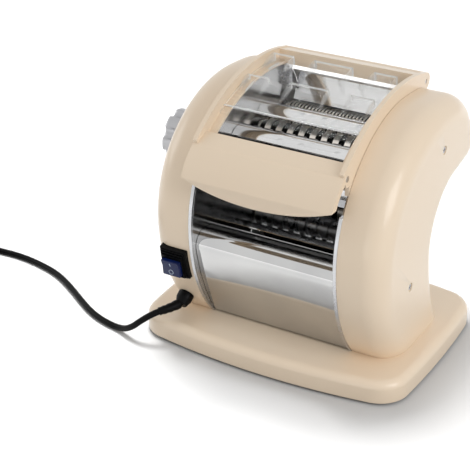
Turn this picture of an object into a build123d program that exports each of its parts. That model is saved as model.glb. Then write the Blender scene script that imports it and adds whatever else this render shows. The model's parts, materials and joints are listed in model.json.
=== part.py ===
from build123d import *
import os
from math import acos, atan2, cos, pi, radians, sin, sqrt, tan

# Electric pasta maker: two crowned housings and two steel side plates stand on a bowed base. Between the plates
# run a pair of smooth rollers and two pairs of cutters over a steel slide and chute, under a hinged guard.
# A motor between the plates drives all six rollers through gears in the right housing.
#
# Millimetres. X runs across the machine, the front faces -Y and +Z is up. The origin lies on the floor, below
# the middle of the base. Side views are drawn as (Y, Z) pairs.

os.makedirs("parts", exist_ok=True)

# ---------------------------------------------------------------------------- clearances
flat_gap = 0.2              # between flat faces that move past each other
curved_gap = 0.3            # between curved faces of pieces that don't touch
running_clearance = 0.05    # radial, a shaft in its bearing
screw_clearance = 0.1       # radial, a screw in its hole
reach = 400.0               # longer than the machine, for cutting tools

# ---------------------------------------------------------------------------- base
foot_height = 3.0
base_height = 23.2
base_corner_x = 145.7
base_corner_y = 100.2
base_half_x = 150.4
base_half_y = 115.0
base_corner_radius = 32.8
base_shoulder = 9.0
base_wall = 3.5
floor_plate_thickness = 1.5
foot_radius = 13.0
foot_stem_radius = 4.0
foot_head_radius = 6.5
foot_head_height = 2.5
foot_x = 116.0
foot_y = 72.0
floor_screw_x = 84.0
floor_screw_y = 88.0
pillar_radius = 6.0
screw_radius = 2.0
screw_head_radius = 3.8
screw_head_height = 1.8
screw_length = 9.0
deck = foot_height + base_height

# ---------------------------------------------------------------------------- frame
inner_width = 155.0
plate_thickness = 3.5
plate_inset = 2.0
plate_top_inset = 4.5
plate_in = inner_width / 2
plate_out = plate_in + plate_thickness
flange_depth = 16.0
flange_half_length = 38.0
frame_screw_y = 24.0
frame_screw_radius = 2.5
frame_screw_head = 4.5
frame_screw_head_height = 3.0
tie_rod_radius = 4.0
tie_rods = [(-58.0, deck + 20.0), (34.0, deck + 20.0), (19.5, deck + 110.8)]

# ---------------------------------------------------------------------------- housings, in side view
housing_depth = 47.0
housing_wall = 3.5
crown_radius = 24.0
outline_tail = 40.0
front_foot = (-62.0, deck)
front_wide = (-106.0, deck + 113.8)
shoulder = (-62.0, deck + 205.8)
crown_front = (33.0, deck + 237.3)
crown_rear = (62.0, deck + 235.3)
rear_wide = (119.0, deck + 173.8)
rear_under = (97.0, deck + 147.8)
waist_top = (68.0, deck + 142.3)
waist = (26.0, deck + 85.8)
rear_foot = (56.0, deck)
housing_out = plate_out + housing_depth
housing_screw_places = [(27.7, deck + 193.6), (-36.7, deck + 73.5)]
post_radius = 5.0
recess_radius = 4.6
recess_depth = 1.6

# ---------------------------------------------------------------------------- trim, chute, slide and covers
trim_proud = 1.0
trim_top = deck + 162.0
sheet = 1.2
sheet_side_gap = 0.3
chute_foot = (-62.8, deck + 1.2)
chute_middle = (-83.2, deck + 39.8)
chute_neck = (-98.5, deck + 88.0)
nose_top = (-82.0, deck + 106.0)
nose_end = (-48.0, deck + 97.6)
slide_front = -55.0
slide_back = 32.0
slide_slope = 13.5
slide_lift = 4.8
cover_inset = 1.0
cover_top_y = 101.0

# ---------------------------------------------------------------------------- rollers and cutters
roller_z = deck + 168.8
roller_side_gap = 2.5
smooth_front_y = -47.5
smooth_rear_y = -21.5
wide_front_y = 8.5
wide_rear_y = 34.5
fine_front_y = 63.1
fine_rear_y = 89.1
smooth_radius = 12.7
ring_radius = 13.75
core_radius = 11.5
wide_pitch = 13.0
fine_pitch = 4.0
ring_clearance = 0.1
journal_radius = 5.0
square = 7.0
bush_radius = 8.0
bush_flange_radius = 10.0
bush_flange = 1.2
roller_half = plate_in - roller_side_gap
gap_travel = 1.8

# ---------------------------------------------------------------------------- gears
pressure_angle = radians(25.0)
addendum = 0.9
dedendum = 1.25
tooth_thinning = 0.1
gear_width = 5.0
gear_spacing = 6.0
pair_module = 1.3
pair_teeth = 20
link_teeth = 22
train_module = 1.25
drive_teeth = 26
idler_teeth = 40
reducer_pinion_teeth = 16
motor_module = 0.8
motor_teeth = 12
reducer_teeth = 72
hub_radius = 7.0
reducer_angle = radians(-75.0)
motor_angle = radians(-105.0)
axle_radius = 4.0
axle_head_radius = 5.2
axle_head = 1.6
layer_a = plate_out + 2.2
layer_b = layer_a + gear_spacing
layer_c = layer_b + gear_spacing
layer_d = layer_c + gear_spacing

# ---------------------------------------------------------------------------- motor
motor_radius = 36.0
motor_length = 92.0
motor_wall = 2.5
motor_plate = 4.0
motor_standoff = 12.0
rotor_radius = 22.0
rotor_length = 60.0
motor_shaft_radius = 4.0
pinion_square = 4.2
capacitor_radius = 13.0
capacitor_length = 52.0
capacitor_place = (-10.0, deck + 60.0)

# ---------------------------------------------------------------------------- thickness regulator and knob
block_half_y = 12.0
block_half_z = 13.0
block_thickness = 6.2
cam_start = 8.0
cam_turn = 225.0
cam_points = 40
cam_thickness = 3.5
follower_radius = 2.5
regulator_radius = 5.0
boss_radius = 9.0
boss_length = 18.0
index_radius = 24.0
index_thickness = 1.2
index_hole_radius = 1.6
index_ring_radius = 18.0
index_count = 10
knob_radius = 28.0
knob_height = 19.0
knob_lobes = 7
scallop_radius = 7.5
scallop_centre = 31.5
knob_edge = 3.0
knob_recess_radius = 9.0
knob_recess_depth = 12.0
spring_radius = 6.9
spring_wire = 0.6
spring_turns = 5
washer_radius = 8.0
washer_thickness = 1.2

# ---------------------------------------------------------------------------- switch and gland
switch_inset = 19.0
switch_x = -plate_out - switch_inset
switch_z = deck + 69.8
switch_half_x = 15.0
switch_half_v = 17.5
switch_proud = 3.5
switch_depth = 14.0
rocker_half_x = 10.5
rocker_radius = 12.5
rocker_pivot = 1.5
rocker_middle = 4.8
rocker_slope = 0.22
rocker_tilt = 9.0
bezel_rounding = 1.2
switch_body_depth = 22.0
switch_body_margin = 2.0
gland_inset = 22.0
gland_x = -plate_out - gland_inset
gland_z = deck + 19.8
gland_radius = 8.5
gland_length = 10.0
gland_tip_radius = 5.0
gland_tip = 7.0
gland_taper = 20.0
gland_tail = 3.0

# ---------------------------------------------------------------------------- guard
guard_radius = 205.3
guard_top = deck + 251.9
guard_centre = (32.5, guard_top - guard_radius)
rail_lap = 1.5
rail_in = plate_in - rail_lap
rail_front = -97.0
rail_bury = 2.0
rail_heel = (-90.0, deck + 189.8)
rail_side_gap = 0.4
rail_out = plate_out - rail_side_gap
ledge_width = 8.0
ledge_in = rail_in - ledge_width
ledge_drop = 13.0
ledge_thickness = 2.5
window_thickness = 2.5
hinge = (86.5, deck + 235.6)
hinge_eye = 9.0
hinge_pin_radius = 2.5
hinge_pin_inset = 0.6
lug_radius = 6.4
lug_thickness = 5.0
lug_drop = 32.0
lug_pad = 12.0
apron_top = (-78.6, deck + 209.3)
apron_middle = (-99.0, deck + 199.8)
apron_low = (-118.5, deck + 176.8)
apron_tip = (-121.3, deck + 158.0)
apron_thickness = 2.5
apron_lip = 8.0
apron_side_z = deck + 175.8
apron_middle_z = deck + 161.8
window_front = -54.0
window_back = 66.5
rear_bar_front = 67.0
slot_margin = 10.0
slot_half_x = rail_in - slot_margin
hood_spans = [(4.0 - rail_in, 28.0 - rail_in), (-25.0, 18.0), (rail_in - 35.0, rail_in - 10.0)]

# ---------------------------------------------------------------------------- cord
cord_radius = 3.4
cord_points = [
    (-103.0, -86.5, 40.0),
    (-107.0, -101.0, 38.0),
    (-117.0, -112.5, 37.0),
    (-131.0, -119.0, 27.5),
    (-146.0, -119.5, 13.0),
    (-163.0, -114.0, 3.9),
    (-186.0, -110.0, 3.5),
    (-209.0, -101.5, 3.5),
    (-233.0, -87.0, 3.5),
    (-262.0, -68.0, 3.5),
    (-294.0, -50.5, 3.5),
    (-328.0, -42.0, 3.5),
    (-356.0, -38.5, 3.5),
    (-392.0, -41.0, 3.5),
    (-427.0, -45.4, 3.5),
]
coil_centre = (-425.0, -88.0)
coil_inner = 25.0
coil_outer = 46.0
coil_height = 14.0
tail_points = [
    (-425.0, -131.0, 10.5),
    (-408.0, -138.5, 11.5),
    (-393.0, -148.0, 15.0),
    (-377.0, -156.0, 18.5),
]
plug_radius = 18.0
plug_length = 34.0
plug_relief = 16.0
plug_neck = 8.0
pin_radius = 2.4
pin_length = 19.0
pin_spacing = 19.0


# ============================================================================ shared shapes
def keep(piece, name):
    """Labels a finished piece and writes it as parts/<name>.step."""
    piece.label = name
    export_step(piece, f"parts/{name}.step")


def draw_outline():
    """The closed side outline of a housing, drawn in (Y, Z), with short tails below the deck."""
    with BuildSketch() as face:
        with BuildLine():
            lower = TangentArc(front_wide, front_foot, tangent=(0, -1))
            front_tail = Line(lower @ 1, lower @ 1 + (lower % 1) * outline_tail)
            upper = TangentArc(front_wide, shoulder, tangent=(0, 1))
            top = TangentArc(shoulder, crown_front, tangent=upper % 1)
            top_rear = TangentArc(crown_front, crown_rear, tangent=top % 1)
            rear = TangentArc(crown_rear, rear_wide, tangent=top_rear % 1)
            under = TangentArc(rear_wide, rear_under, tangent=rear % 1)
            ledge = Line(under @ 1, waist_top)
            hollow = TangentArc(waist_top, waist, tangent=ledge % 1)
            heel = TangentArc(waist, rear_foot, tangent=hollow % 1)
            heel_tail = Line(heel @ 1, heel @ 1 + (heel % 1) * outline_tail)
            Line(front_tail @ 1, heel_tail @ 1)
        make_face()
    return face.sketch_local


outline = draw_outline()


def inset_outline(inset):
    """The side outline set in by inset, or out where inset is negative."""
    return offset(outline, amount=-inset, mode=Mode.PRIVATE)


def region(low, high):
    """A rectangle in (Y, Z) from its low corner to its high corner, to cut or keep part of a side view."""
    width = high[0] - low[0]
    height = high[1] - low[1]
    place = Pos(low[0] + width / 2, low[1] + height / 2)
    return place * Rectangle(width, height, mode=Mode.PRIVATE)


def pillow(inset, start, depth, radius, floor):
    """A crowned block: the outline set in by inset, extruded along +X, its outer rim rounded, cut off at floor."""
    with BuildPart() as block:
        with BuildSketch(Plane.YZ.offset(start)):
            add(inset_outline(inset))
        extrude(amount=depth)
        rim = faces().sort_by(Axis.X)[-1].edges().sort_by(Axis.Z)[1:]
        fillet(rim, radius=radius)
        split(bisect_by=Plane.XY.offset(floor), keep=Keep.TOP)
    return block.part


def rod(start, end, place, radius, mode=Mode.ADD):
    """A round rod along X from start to end at place, a (Y, Z) pair, in the part being built."""
    with BuildSketch(Plane.YZ.offset(start)) as section:
        with Locations(place):
            Circle(radius)
    extrude(section.sketch, amount=end - start, mode=mode)


def bar(low, high, mode=Mode.ADD):
    """A block from its low corner to its high corner, in the part being built."""
    middle = tuple((a + b) / 2 for a, b in zip(low, high))
    with Locations(middle):
        Box(high[0] - low[0], high[1] - low[1], high[2] - low[2], mode=mode)


def square_end(start, end, place, side):
    """A square shaft end along X at place, in the part being built."""
    with BuildSketch(Plane.YZ.offset(start)) as section:
        with Locations(place):
            Rectangle(side, side)
    extrude(section.sketch, amount=end - start)


def involute(angle):
    return tan(angle) - angle


def gear_points(module, teeth, phase):
    """The corners of a spur gear's outline about its centre, with the middle of one tooth at angle phase."""
    pitch = module * teeth / 2
    base_circle = pitch * cos(pressure_angle)
    tip = pitch + addendum * module
    root = pitch - dedendum * module
    start = max(root, base_circle)
    half = pi / (2 * teeth) - tooth_thinning / (2 * pitch)
    flank = []
    for step in range(4):
        radius = start + (tip - start) * step / 3
        turn = half + involute(pressure_angle) - involute(acos(base_circle / radius))
        flank.append((radius, turn))
    if root < start:
        flank.insert(0, (root, flank[0][1]))
    points = []
    for tooth in range(teeth):
        middle = phase + 2 * pi * tooth / teeth
        for radius, turn in flank:
            points.append((radius * cos(middle - turn), radius * sin(middle - turn)))
        for radius, turn in reversed(flank):
            points.append((radius * cos(middle + turn), radius * sin(middle + turn)))
    return points


def mesh_phase(first_place, first_teeth, first_phase, second_place, second_teeth):
    """The phase that puts the second gear in mesh with the first."""
    heading = atan2(second_place[1] - first_place[1], second_place[0] - first_place[0])
    turned = (first_phase - heading) * first_teeth / second_teeth
    return heading + pi + pi / second_teeth - turned


def gear(layer, place, module, teeth, phase):
    """A toothed disc of the gear width at one layer, in the part being built."""
    with BuildSketch(Plane.YZ.offset(layer)) as section:
        with Locations(place):
            Polygon(*gear_points(module, teeth, phase), align=None)
    extrude(section.sketch, amount=gear_width)


def square_bore(place, side):
    """Cuts a square hole through the part being built, along X at place."""
    with BuildSketch(Plane.YZ) as section:
        with Locations(place):
            Rectangle(side, side)
    extrude(section.sketch, amount=reach, both=True, mode=Mode.SUBTRACT)


def ringed_profile(pitch, first_ring, count):
    """The stepped half section of a cutter, as (X, radius) corners from one end to the other."""
    half_ring = pitch / 4 - ring_clearance / 2
    corners = [(-roller_half, 0), (-roller_half, core_radius)]
    for ring in range(count):
        left = first_ring + pitch * ring - half_ring
        right = left + 2 * half_ring
        corners += [(left, core_radius), (left, ring_radius), (right, ring_radius), (right, core_radius)]
    corners += [(roller_half, core_radius), (roller_half, 0)]
    return corners


def ring_row(pitch, shifted):
    """The middle of the first ring of a cutter and the number of its rings."""
    first = -roller_half + pitch / 4 + shifted * pitch / 2
    return first, int((roller_half - first - pitch / 4) // pitch) + 1


def cutter_body(place_y, pitch, first_ring, count):
    """A ringed cutter along X at place_y, in the part being built."""
    with BuildSketch(Plane(origin=(0, place_y, roller_z), x_dir=(1, 0, 0), z_dir=(0, -1, 0))) as section:
        with BuildLine() as stepped:
            Polyline(*ringed_profile(pitch, first_ring, count), close=True)
        make_face(stepped.edges())
    axis = Axis((0, place_y, roller_z), (1, 0, 0))
    revolve(section.sketch, axis=axis, revolution_arc=360)


def journals(place_y, square_to):
    """The two journals of a roller and the squared end that carries its gears, in the part being built."""
    place = (place_y, roller_z)
    rod(-left_journal_end, -roller_half, place, journal_radius)
    rod(roller_half, bush_end, place, journal_radius)
    square_end(bush_end, square_to, place, square)


bush_end = plate_out + 1.6
left_journal_end = plate_out + 2.4
a_end = layer_a + gear_width
b_end = layer_b + gear_width
c_end = layer_c + gear_width
d_end = layer_d + gear_width
smooth_front = (smooth_front_y, roller_z)
smooth_rear = (smooth_rear_y, roller_z)
wide_front = (wide_front_y, roller_z)
wide_rear = (wide_rear_y, roller_z)
fine_front = (fine_front_y, roller_z)
fine_rear = (fine_rear_y, roller_z)
fixed_rollers = [smooth_front, wide_front, wide_rear, fine_front, fine_rear]

# The idler meshes with the drive gears of the front smooth roller and the front wide cutter, from below.
drive_distance = train_module * (drive_teeth + idler_teeth) / 2
idler_half_span = (wide_front_y - smooth_front_y) / 2
idler = (smooth_front_y + idler_half_span, roller_z - sqrt(drive_distance**2 - idler_half_span**2))
reducer_distance = train_module * (idler_teeth + reducer_pinion_teeth) / 2
reducer = (idler[0] + reducer_distance * cos(reducer_angle), idler[1] + reducer_distance * sin(reducer_angle))
motor_distance = motor_module * (motor_teeth + reducer_teeth) / 2
motor = (reducer[0] + motor_distance * cos(motor_angle), reducer[1] + motor_distance * sin(motor_angle))
print("idler", idler, "reducer", reducer, "motor", motor)

# ============================================================================ base
def draw_base_plan(inset):
    """The bowed plan of the base with rounded corners, set in by inset on every side."""
    corner_x = base_corner_x - inset
    corner_y = base_corner_y - inset
    half_x = base_half_x - inset
    half_y = base_half_y - inset
    with BuildSketch() as plan:
        with BuildLine():
            ThreePointArc((-corner_x, -corner_y), (0, -half_y), (corner_x, -corner_y))
            ThreePointArc((corner_x, -corner_y), (half_x, 0), (corner_x, corner_y))
            ThreePointArc((corner_x, corner_y), (0, half_y), (-corner_x, corner_y))
            ThreePointArc((-corner_x, corner_y), (-half_x, 0), (-corner_x, -corner_y))
        make_face()
        fillet(vertices(), radius=base_corner_radius - inset)
    return plan.sketch_local


base_plan = draw_base_plan(0)
base_room = draw_base_plan(base_wall)
plate_plan = draw_base_plan(base_wall + curved_gap)
floor_plate_bottom = foot_height
floor_plate_top = floor_plate_bottom + floor_plate_thickness
ceiling = deck - base_wall
foot_places = [(sx * foot_x, sy * foot_y) for sx in (-1, 1) for sy in (-1, 1)]
floor_screw_places = [(sx * floor_screw_x, sy * floor_screw_y) for sx in (-1, 1) for sy in (-1, 1)]
flange_x = plate_in - flange_depth / 2
frame_screw_places = [(sx * flange_x, sy * frame_screw_y) for sx in (-1, 1) for sy in (-1, 1)]

with BuildPart() as base_room_block:
    with BuildSketch():
        add(base_room)
    extrude(amount=ceiling)
    fillet(faces().sort_by(Axis.Z)[-1].edges(), radius=base_shoulder - base_wall)

with BuildPart() as base:
    with BuildSketch(Plane.XY.offset(foot_height)):
        add(base_plan)
    extrude(amount=base_height)
    fillet(faces().sort_by(Axis.Z)[-1].edges(), radius=base_shoulder)
    add(base_room_block.part, mode=Mode.SUBTRACT)
    with BuildSketch(Plane.XY.offset(floor_plate_top)):
        with Locations(*floor_screw_places):
            Circle(pillar_radius)
    extrude(amount=ceiling - floor_plate_top)
    with BuildSketch(Plane.XY.offset(floor_plate_top)):
        with Locations(*floor_screw_places):
            Circle(screw_radius + screw_clearance)
    extrude(amount=screw_length + curved_gap, mode=Mode.SUBTRACT)
    with BuildSketch(Plane.XY.offset(ceiling)):
        with Locations(*frame_screw_places):
            Circle(frame_screw_radius + screw_clearance)
    extrude(amount=base_wall, mode=Mode.SUBTRACT)
keep(base.part, "base")

with BuildPart() as base_floor_plate:
    with BuildSketch(Plane.XY.offset(floor_plate_bottom)):
        add(plate_plan)
        with Locations(*foot_places):
            Circle(foot_stem_radius + screw_clearance, mode=Mode.SUBTRACT)
        with Locations(*floor_screw_places):
            Circle(screw_radius + screw_clearance, mode=Mode.SUBTRACT)
    extrude(amount=floor_plate_thickness)
keep(base_floor_plate.part, "base_floor_plate")

with BuildPart() as rubber_feet:
    with BuildSketch():
        with Locations(*foot_places):
            Circle(foot_radius)
    extrude(amount=foot_height)
    with BuildSketch(Plane.XY.offset(foot_height)):
        with Locations(*foot_places):
            Circle(foot_stem_radius)
    extrude(amount=floor_plate_thickness)
    with BuildSketch(Plane.XY.offset(floor_plate_top)):
        with Locations(*foot_places):
            Circle(foot_head_radius)
    extrude(amount=foot_head_height)
keep(rubber_feet.part, "rubber_feet")

with BuildPart() as base_screws:
    with BuildSketch(Plane.XY.offset(floor_plate_bottom)):
        with Locations(*floor_screw_places):
            Circle(screw_head_radius)
    extrude(amount=-screw_head_height)
    with BuildSketch(Plane.XY.offset(floor_plate_bottom)):
        with Locations(*floor_screw_places):
            Circle(screw_radius)
    extrude(amount=screw_length)
    with BuildSketch(Plane.XY.offset(ceiling)):
        with Locations(*frame_screw_places):
            Circle(frame_screw_head)
    extrude(amount=-frame_screw_head_height)
    with BuildSketch(Plane.XY.offset(ceiling)):
        with Locations(*frame_screw_places):
            Circle(frame_screw_radius)
    extrude(amount=base_wall + plate_thickness)
keep(base_screws.part, "base_screws")


# ============================================================================ housings
# The lower front of the outline is one arc. It ends upright at front_wide, so its centre lies level with that.
front_run = front_foot[0] - front_wide[0]
front_rise = front_wide[1] - front_foot[1]
front_arc = (front_run**2 + front_rise**2) / (2 * front_run)
front_arc_y = front_wide[0] + front_arc
switch_y = front_arc_y - sqrt(front_arc**2 - (front_wide[1] - switch_z) ** 2)
switch_lean = atan2(front_wide[1] - switch_z, front_arc_y - switch_y)
gland_y = front_arc_y - sqrt(front_arc**2 - (front_wide[1] - gland_z) ** 2)
gland_lean = atan2(front_wide[1] - gland_z, front_arc_y - gland_y)
switch_out = (0, -cos(switch_lean), -sin(switch_lean))
gland_out = (0, -cos(gland_lean), -sin(gland_lean))
switch_plane = Plane(origin=(switch_x, switch_y, switch_z), x_dir=(1, 0, 0), z_dir=switch_out)
gland_plane = Plane(origin=(gland_x, gland_y, gland_z), x_dir=(1, 0, 0), z_dir=gland_out)
knob_side = -housing_out

housing_block = pillow(0, plate_out, housing_depth, crown_radius, deck)
housing_room = pillow(
    housing_wall, plate_out, housing_depth - housing_wall, crown_radius - housing_wall, deck + housing_wall
)

with BuildPart() as right_housing:
    add(housing_block)
    add(housing_room, mode=Mode.SUBTRACT)
    for place in housing_screw_places:
        rod(housing_out - recess_depth, housing_out, place, recess_radius, mode=Mode.SUBTRACT)
        rod(housing_out - housing_wall, housing_out, place, screw_radius + screw_clearance, mode=Mode.SUBTRACT)
keep(right_housing.part, "right_housing")

with BuildPart() as left_housing:
    add(mirror(housing_block, about=Plane.YZ, mode=Mode.PRIVATE))
    add(mirror(housing_room, about=Plane.YZ, mode=Mode.PRIVATE), mode=Mode.SUBTRACT)
    boss_start = knob_side + housing_wall
    rod(boss_start, boss_start + boss_length, smooth_rear, boss_radius)
    rod(knob_side, boss_start + boss_length, smooth_rear, regulator_radius + running_clearance, mode=Mode.SUBTRACT)
    for place in housing_screw_places:
        rod(knob_side, knob_side + recess_depth, place, recess_radius, mode=Mode.SUBTRACT)
        rod(knob_side, knob_side + housing_wall, place, screw_radius + screw_clearance, mode=Mode.SUBTRACT)
    with BuildSketch(switch_plane.offset(-switch_depth)):
        Rectangle(2 * (switch_half_x + curved_gap), 2 * (switch_half_v + curved_gap))
    extrude(amount=switch_depth + switch_proud, mode=Mode.SUBTRACT)
    with BuildSketch(gland_plane.offset(-2 * housing_wall)):
        Circle(gland_tip_radius + curved_gap)
    extrude(amount=4 * housing_wall, mode=Mode.SUBTRACT)
keep(left_housing.part, "left_housing")

with BuildPart() as housing_screws:
    for side in (-1, 1):
        seat = side * (housing_out - recess_depth)
        for place in housing_screw_places:
            head_end = seat + side * (recess_depth - flat_gap)
            rod(min(seat, head_end), max(seat, head_end), place, screw_head_radius)
            tip = seat - side * screw_length
            rod(min(seat, tip), max(seat, tip), place, screw_radius)
keep(housing_screws.part, "housing_screws")

# ============================================================================ side plates
plate_low = (-reach, deck)
plate_high = (reach, reach)
with BuildSketch() as plate_side:
    add(inset_outline(plate_inset))
    with BuildSketch(mode=Mode.PRIVATE) as top_band:
        add(inset_outline(plate_inset - 1))
        add(inset_outline(plate_top_inset), mode=Mode.SUBTRACT)
        add(region((-reach, trim_top), (cover_top_y, reach)), mode=Mode.INTERSECT)
    add(top_band.sketch_local, mode=Mode.SUBTRACT)
    add(region(plate_low, plate_high), mode=Mode.INTERSECT)


def side_plate(side):
    """One steel side plate with its foot flange, bearing holes and the two posts that carry its housing."""
    inner = side * plate_in
    start = min(inner, side * plate_out)
    with BuildPart() as plate:
        with BuildSketch(Plane.YZ.offset(start)):
            add(plate_side.sketch_local)
        extrude(amount=plate_thickness)
        flange_end = side * (plate_in - flange_depth)
        bar(
            (min(inner, flange_end), -flange_half_length, deck),
            (max(inner, flange_end), flange_half_length, deck + plate_thickness),
        )
        with BuildSketch(Plane.XY.offset(deck)):
            with Locations((side * flange_x, -frame_screw_y), (side * flange_x, frame_screw_y)):
                Circle(frame_screw_radius + screw_clearance)
        extrude(amount=plate_thickness, mode=Mode.SUBTRACT)
        for place in fixed_rollers:
            rod(start, start + plate_thickness, place, bush_radius, mode=Mode.SUBTRACT)
        with BuildSketch(Plane.YZ.offset(start)):
            with Locations((smooth_rear_y + gap_travel / 2, roller_z)):
                SlotCenterToCenter(gap_travel, 2 * (journal_radius + curved_gap))
        extrude(amount=plate_thickness, mode=Mode.SUBTRACT)
        for place in tie_rods:
            rod(start, start + plate_thickness, place, screw_radius + screw_clearance, mode=Mode.SUBTRACT)
        post_end = side * (housing_out - housing_wall)
        for place in housing_screw_places:
            rod(min(side * plate_out, post_end), max(side * plate_out, post_end), place, post_radius)
            hole_end = post_end - side * (screw_length + flat_gap)
            low = min(post_end, hole_end)
            rod(low, max(post_end, hole_end), place, screw_radius + screw_clearance, mode=Mode.SUBTRACT)
        if side > 0:
            for place in (idler, reducer):
                rod(plate_in, plate_out, place, axle_radius, mode=Mode.SUBTRACT)
            rod(plate_in, plate_out, motor, motor_shaft_radius + curved_gap, mode=Mode.SUBTRACT)
    return plate.part


keep(side_plate(-1), "left_side_plate")
keep(side_plate(1), "right_side_plate")

with BuildPart() as tie_rod_set:
    for place in tie_rods:
        rod(-plate_in, plate_in, place, tie_rod_radius)
        for side in (-1, 1):
            through = side * plate_out
            end = through + side * screw_head_height
            rod(min(side * plate_in, through), max(side * plate_in, through), place, screw_radius)
            rod(min(through, end), max(through, end), place, screw_head_radius)
keep(tie_rod_set.part, "tie_rods")

# ============================================================================ trim strips
with BuildSketch() as trim_side:
    add(inset_outline(-trim_proud))
    add(inset_outline(plate_inset), mode=Mode.SUBTRACT)
    add(region((-reach, deck), (front_foot[0] + 4, trim_top)), mode=Mode.INTERSECT)

for side, name in ((-1, "left_trim_strip"), (1, "right_trim_strip")):
    with BuildPart() as trim:
        with BuildSketch(Plane.YZ.offset(min(side * plate_in, side * plate_out))):
            add(trim_side.sketch_local)
        extrude(amount=plate_thickness)
    keep(trim.part, name)

# ============================================================================ chute, slide and back cover
half_sheet = plate_in - sheet_side_gap
with BuildPart() as front_chute:
    with BuildSketch(Plane.YZ.offset(-half_sheet)):
        with BuildLine() as chute_line:
            face_line = ThreePointArc(chute_foot, chute_middle, chute_neck)
            nose = TangentArc(chute_neck, nose_top, tangent=face_line % 1)
            TangentArc(nose @ 1, nose_end, tangent=nose % 1)
            offset(amount=sheet, side=Side.RIGHT, closed=True)
        make_face()
    extrude(amount=2 * half_sheet)
keep(front_chute.part, "front_chute")

# The slide begins just over the chute's tail and rises to the rear under the rollers.
slide_start = nose_end[1] + slide_lift
slide_rise = (slide_back - slide_front) * tan(radians(slide_slope))
with BuildPart() as slide_plate:
    with BuildSketch(Plane.YZ.offset(-half_sheet)):
        Polygon(
            (slide_front, slide_start),
            (slide_back, slide_start + slide_rise),
            (slide_back, slide_start + slide_rise + sheet),
            (slide_front, slide_start + sheet),
            align=None,
        )
    extrude(amount=2 * half_sheet)
keep(slide_plate.part, "slide_plate")

with BuildPart() as back_cover:
    with BuildSketch(Plane.YZ.offset(-half_sheet)):
        add(inset_outline(cover_inset))
        add(inset_outline(cover_inset + sheet), mode=Mode.SUBTRACT)
        add(region((rear_foot[0] - 40, deck), (reach, crown_rear[1] - 20)), mode=Mode.INTERSECT)
        add(region((-reach, waist[1] + 70), (cover_top_y, reach)), mode=Mode.SUBTRACT)
        add(region((-reach, deck), (waist[0] - 10, reach)), mode=Mode.SUBTRACT)
    extrude(amount=2 * half_sheet)
keep(back_cover.part, "back_cover")

# ============================================================================ rollers and cutters
with BuildPart() as smooth_roller_front:
    rod(-roller_half, roller_half, smooth_front, smooth_radius)
    journals(smooth_front_y, c_end)
keep(smooth_roller_front.part, "smooth_roller_front")

block_start = plate_out + flat_gap
block_end = block_start + block_thickness
with BuildPart() as smooth_roller_rear:
    rod(-roller_half, roller_half, smooth_rear, smooth_radius)
    rod(-block_end, -roller_half, smooth_rear, journal_radius)
    rod(roller_half, block_end, smooth_rear, journal_radius)
    square_end(block_end, b_end, smooth_rear, square)
keep(smooth_roller_rear.part, "smooth_roller_rear")

cutters = [
    ("wide_cutter_front", wide_front_y, wide_pitch, 0, c_end),
    ("wide_cutter_rear", wide_rear_y, wide_pitch, 1, b_end),
    ("fine_cutter_front", fine_front_y, fine_pitch, 0, b_end),
    ("fine_cutter_rear", fine_rear_y, fine_pitch, 1, a_end),
]
for name, place_y, pitch, shifted, square_to in cutters:
    with BuildPart() as cutter:
        cutter_body(place_y, pitch, *ring_row(pitch, shifted))
        journals(place_y, square_to)
    keep(cutter.part, name)

with BuildPart() as roller_bushes:
    for side in (-1, 1):
        for place in fixed_rollers:
            inner = side * (plate_in - bush_flange)
            seat = side * plate_in
            outer = side * (bush_end - flat_gap)
            rod(min(inner, seat), max(inner, seat), place, bush_flange_radius)
            rod(min(seat, outer), max(seat, outer), place, bush_radius)
            low = min(inner, outer)
            rod(low, max(inner, outer), place, journal_radius + running_clearance, mode=Mode.SUBTRACT)
keep(roller_bushes.part, "roller_bushes")

# ============================================================================ gears
rear_phase = mesh_phase(smooth_front, pair_teeth, 0, smooth_rear, pair_teeth)
wide_phase = mesh_phase(wide_front, pair_teeth, 0, wide_rear, pair_teeth)
fine_phase = mesh_phase(fine_front, pair_teeth, 0, fine_rear, pair_teeth)
link_phase = mesh_phase(wide_rear, link_teeth, 0, fine_front, link_teeth)
link_module = 2 * (fine_front_y - wide_rear_y) / (2 * link_teeth)
smooth_drive_phase = mesh_phase(idler, idler_teeth, 0, smooth_front, drive_teeth)
wide_drive_phase = mesh_phase(idler, idler_teeth, 0, wide_front, drive_teeth)
reducer_pinion_phase = mesh_phase(idler, idler_teeth, 0, reducer, reducer_pinion_teeth)
motor_phase = mesh_phase(reducer, reducer_teeth, 0, motor, motor_teeth)

with BuildPart() as smooth_gear_front:
    rod(bush_end + flat_gap, c_end, smooth_front, hub_radius)
    gear(layer_b, smooth_front, pair_module, pair_teeth, 0)
    gear(layer_c, smooth_front, train_module, drive_teeth, smooth_drive_phase)
    square_bore(smooth_front, square)
keep(smooth_gear_front.part, "smooth_gear_front")

with BuildPart() as smooth_gear_rear:
    rod(block_end + flat_gap, b_end, smooth_rear, hub_radius)
    gear(layer_b, smooth_rear, pair_module, pair_teeth, rear_phase)
    square_bore(smooth_rear, square)
keep(smooth_gear_rear.part, "smooth_gear_rear")

with BuildPart() as wide_gear_front:
    rod(bush_end + flat_gap, c_end, wide_front, hub_radius)
    gear(layer_a, wide_front, pair_module, pair_teeth, 0)
    gear(layer_c, wide_front, train_module, drive_teeth, wide_drive_phase)
    square_bore(wide_front, square)
keep(wide_gear_front.part, "wide_gear_front")

with BuildPart() as wide_gear_rear:
    rod(bush_end + flat_gap, b_end, wide_rear, hub_radius)
    gear(layer_a, wide_rear, pair_module, pair_teeth, wide_phase)
    gear(layer_b, wide_rear, link_module, link_teeth, 0)
    square_bore(wide_rear, square)
keep(wide_gear_rear.part, "wide_gear_rear")

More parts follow.
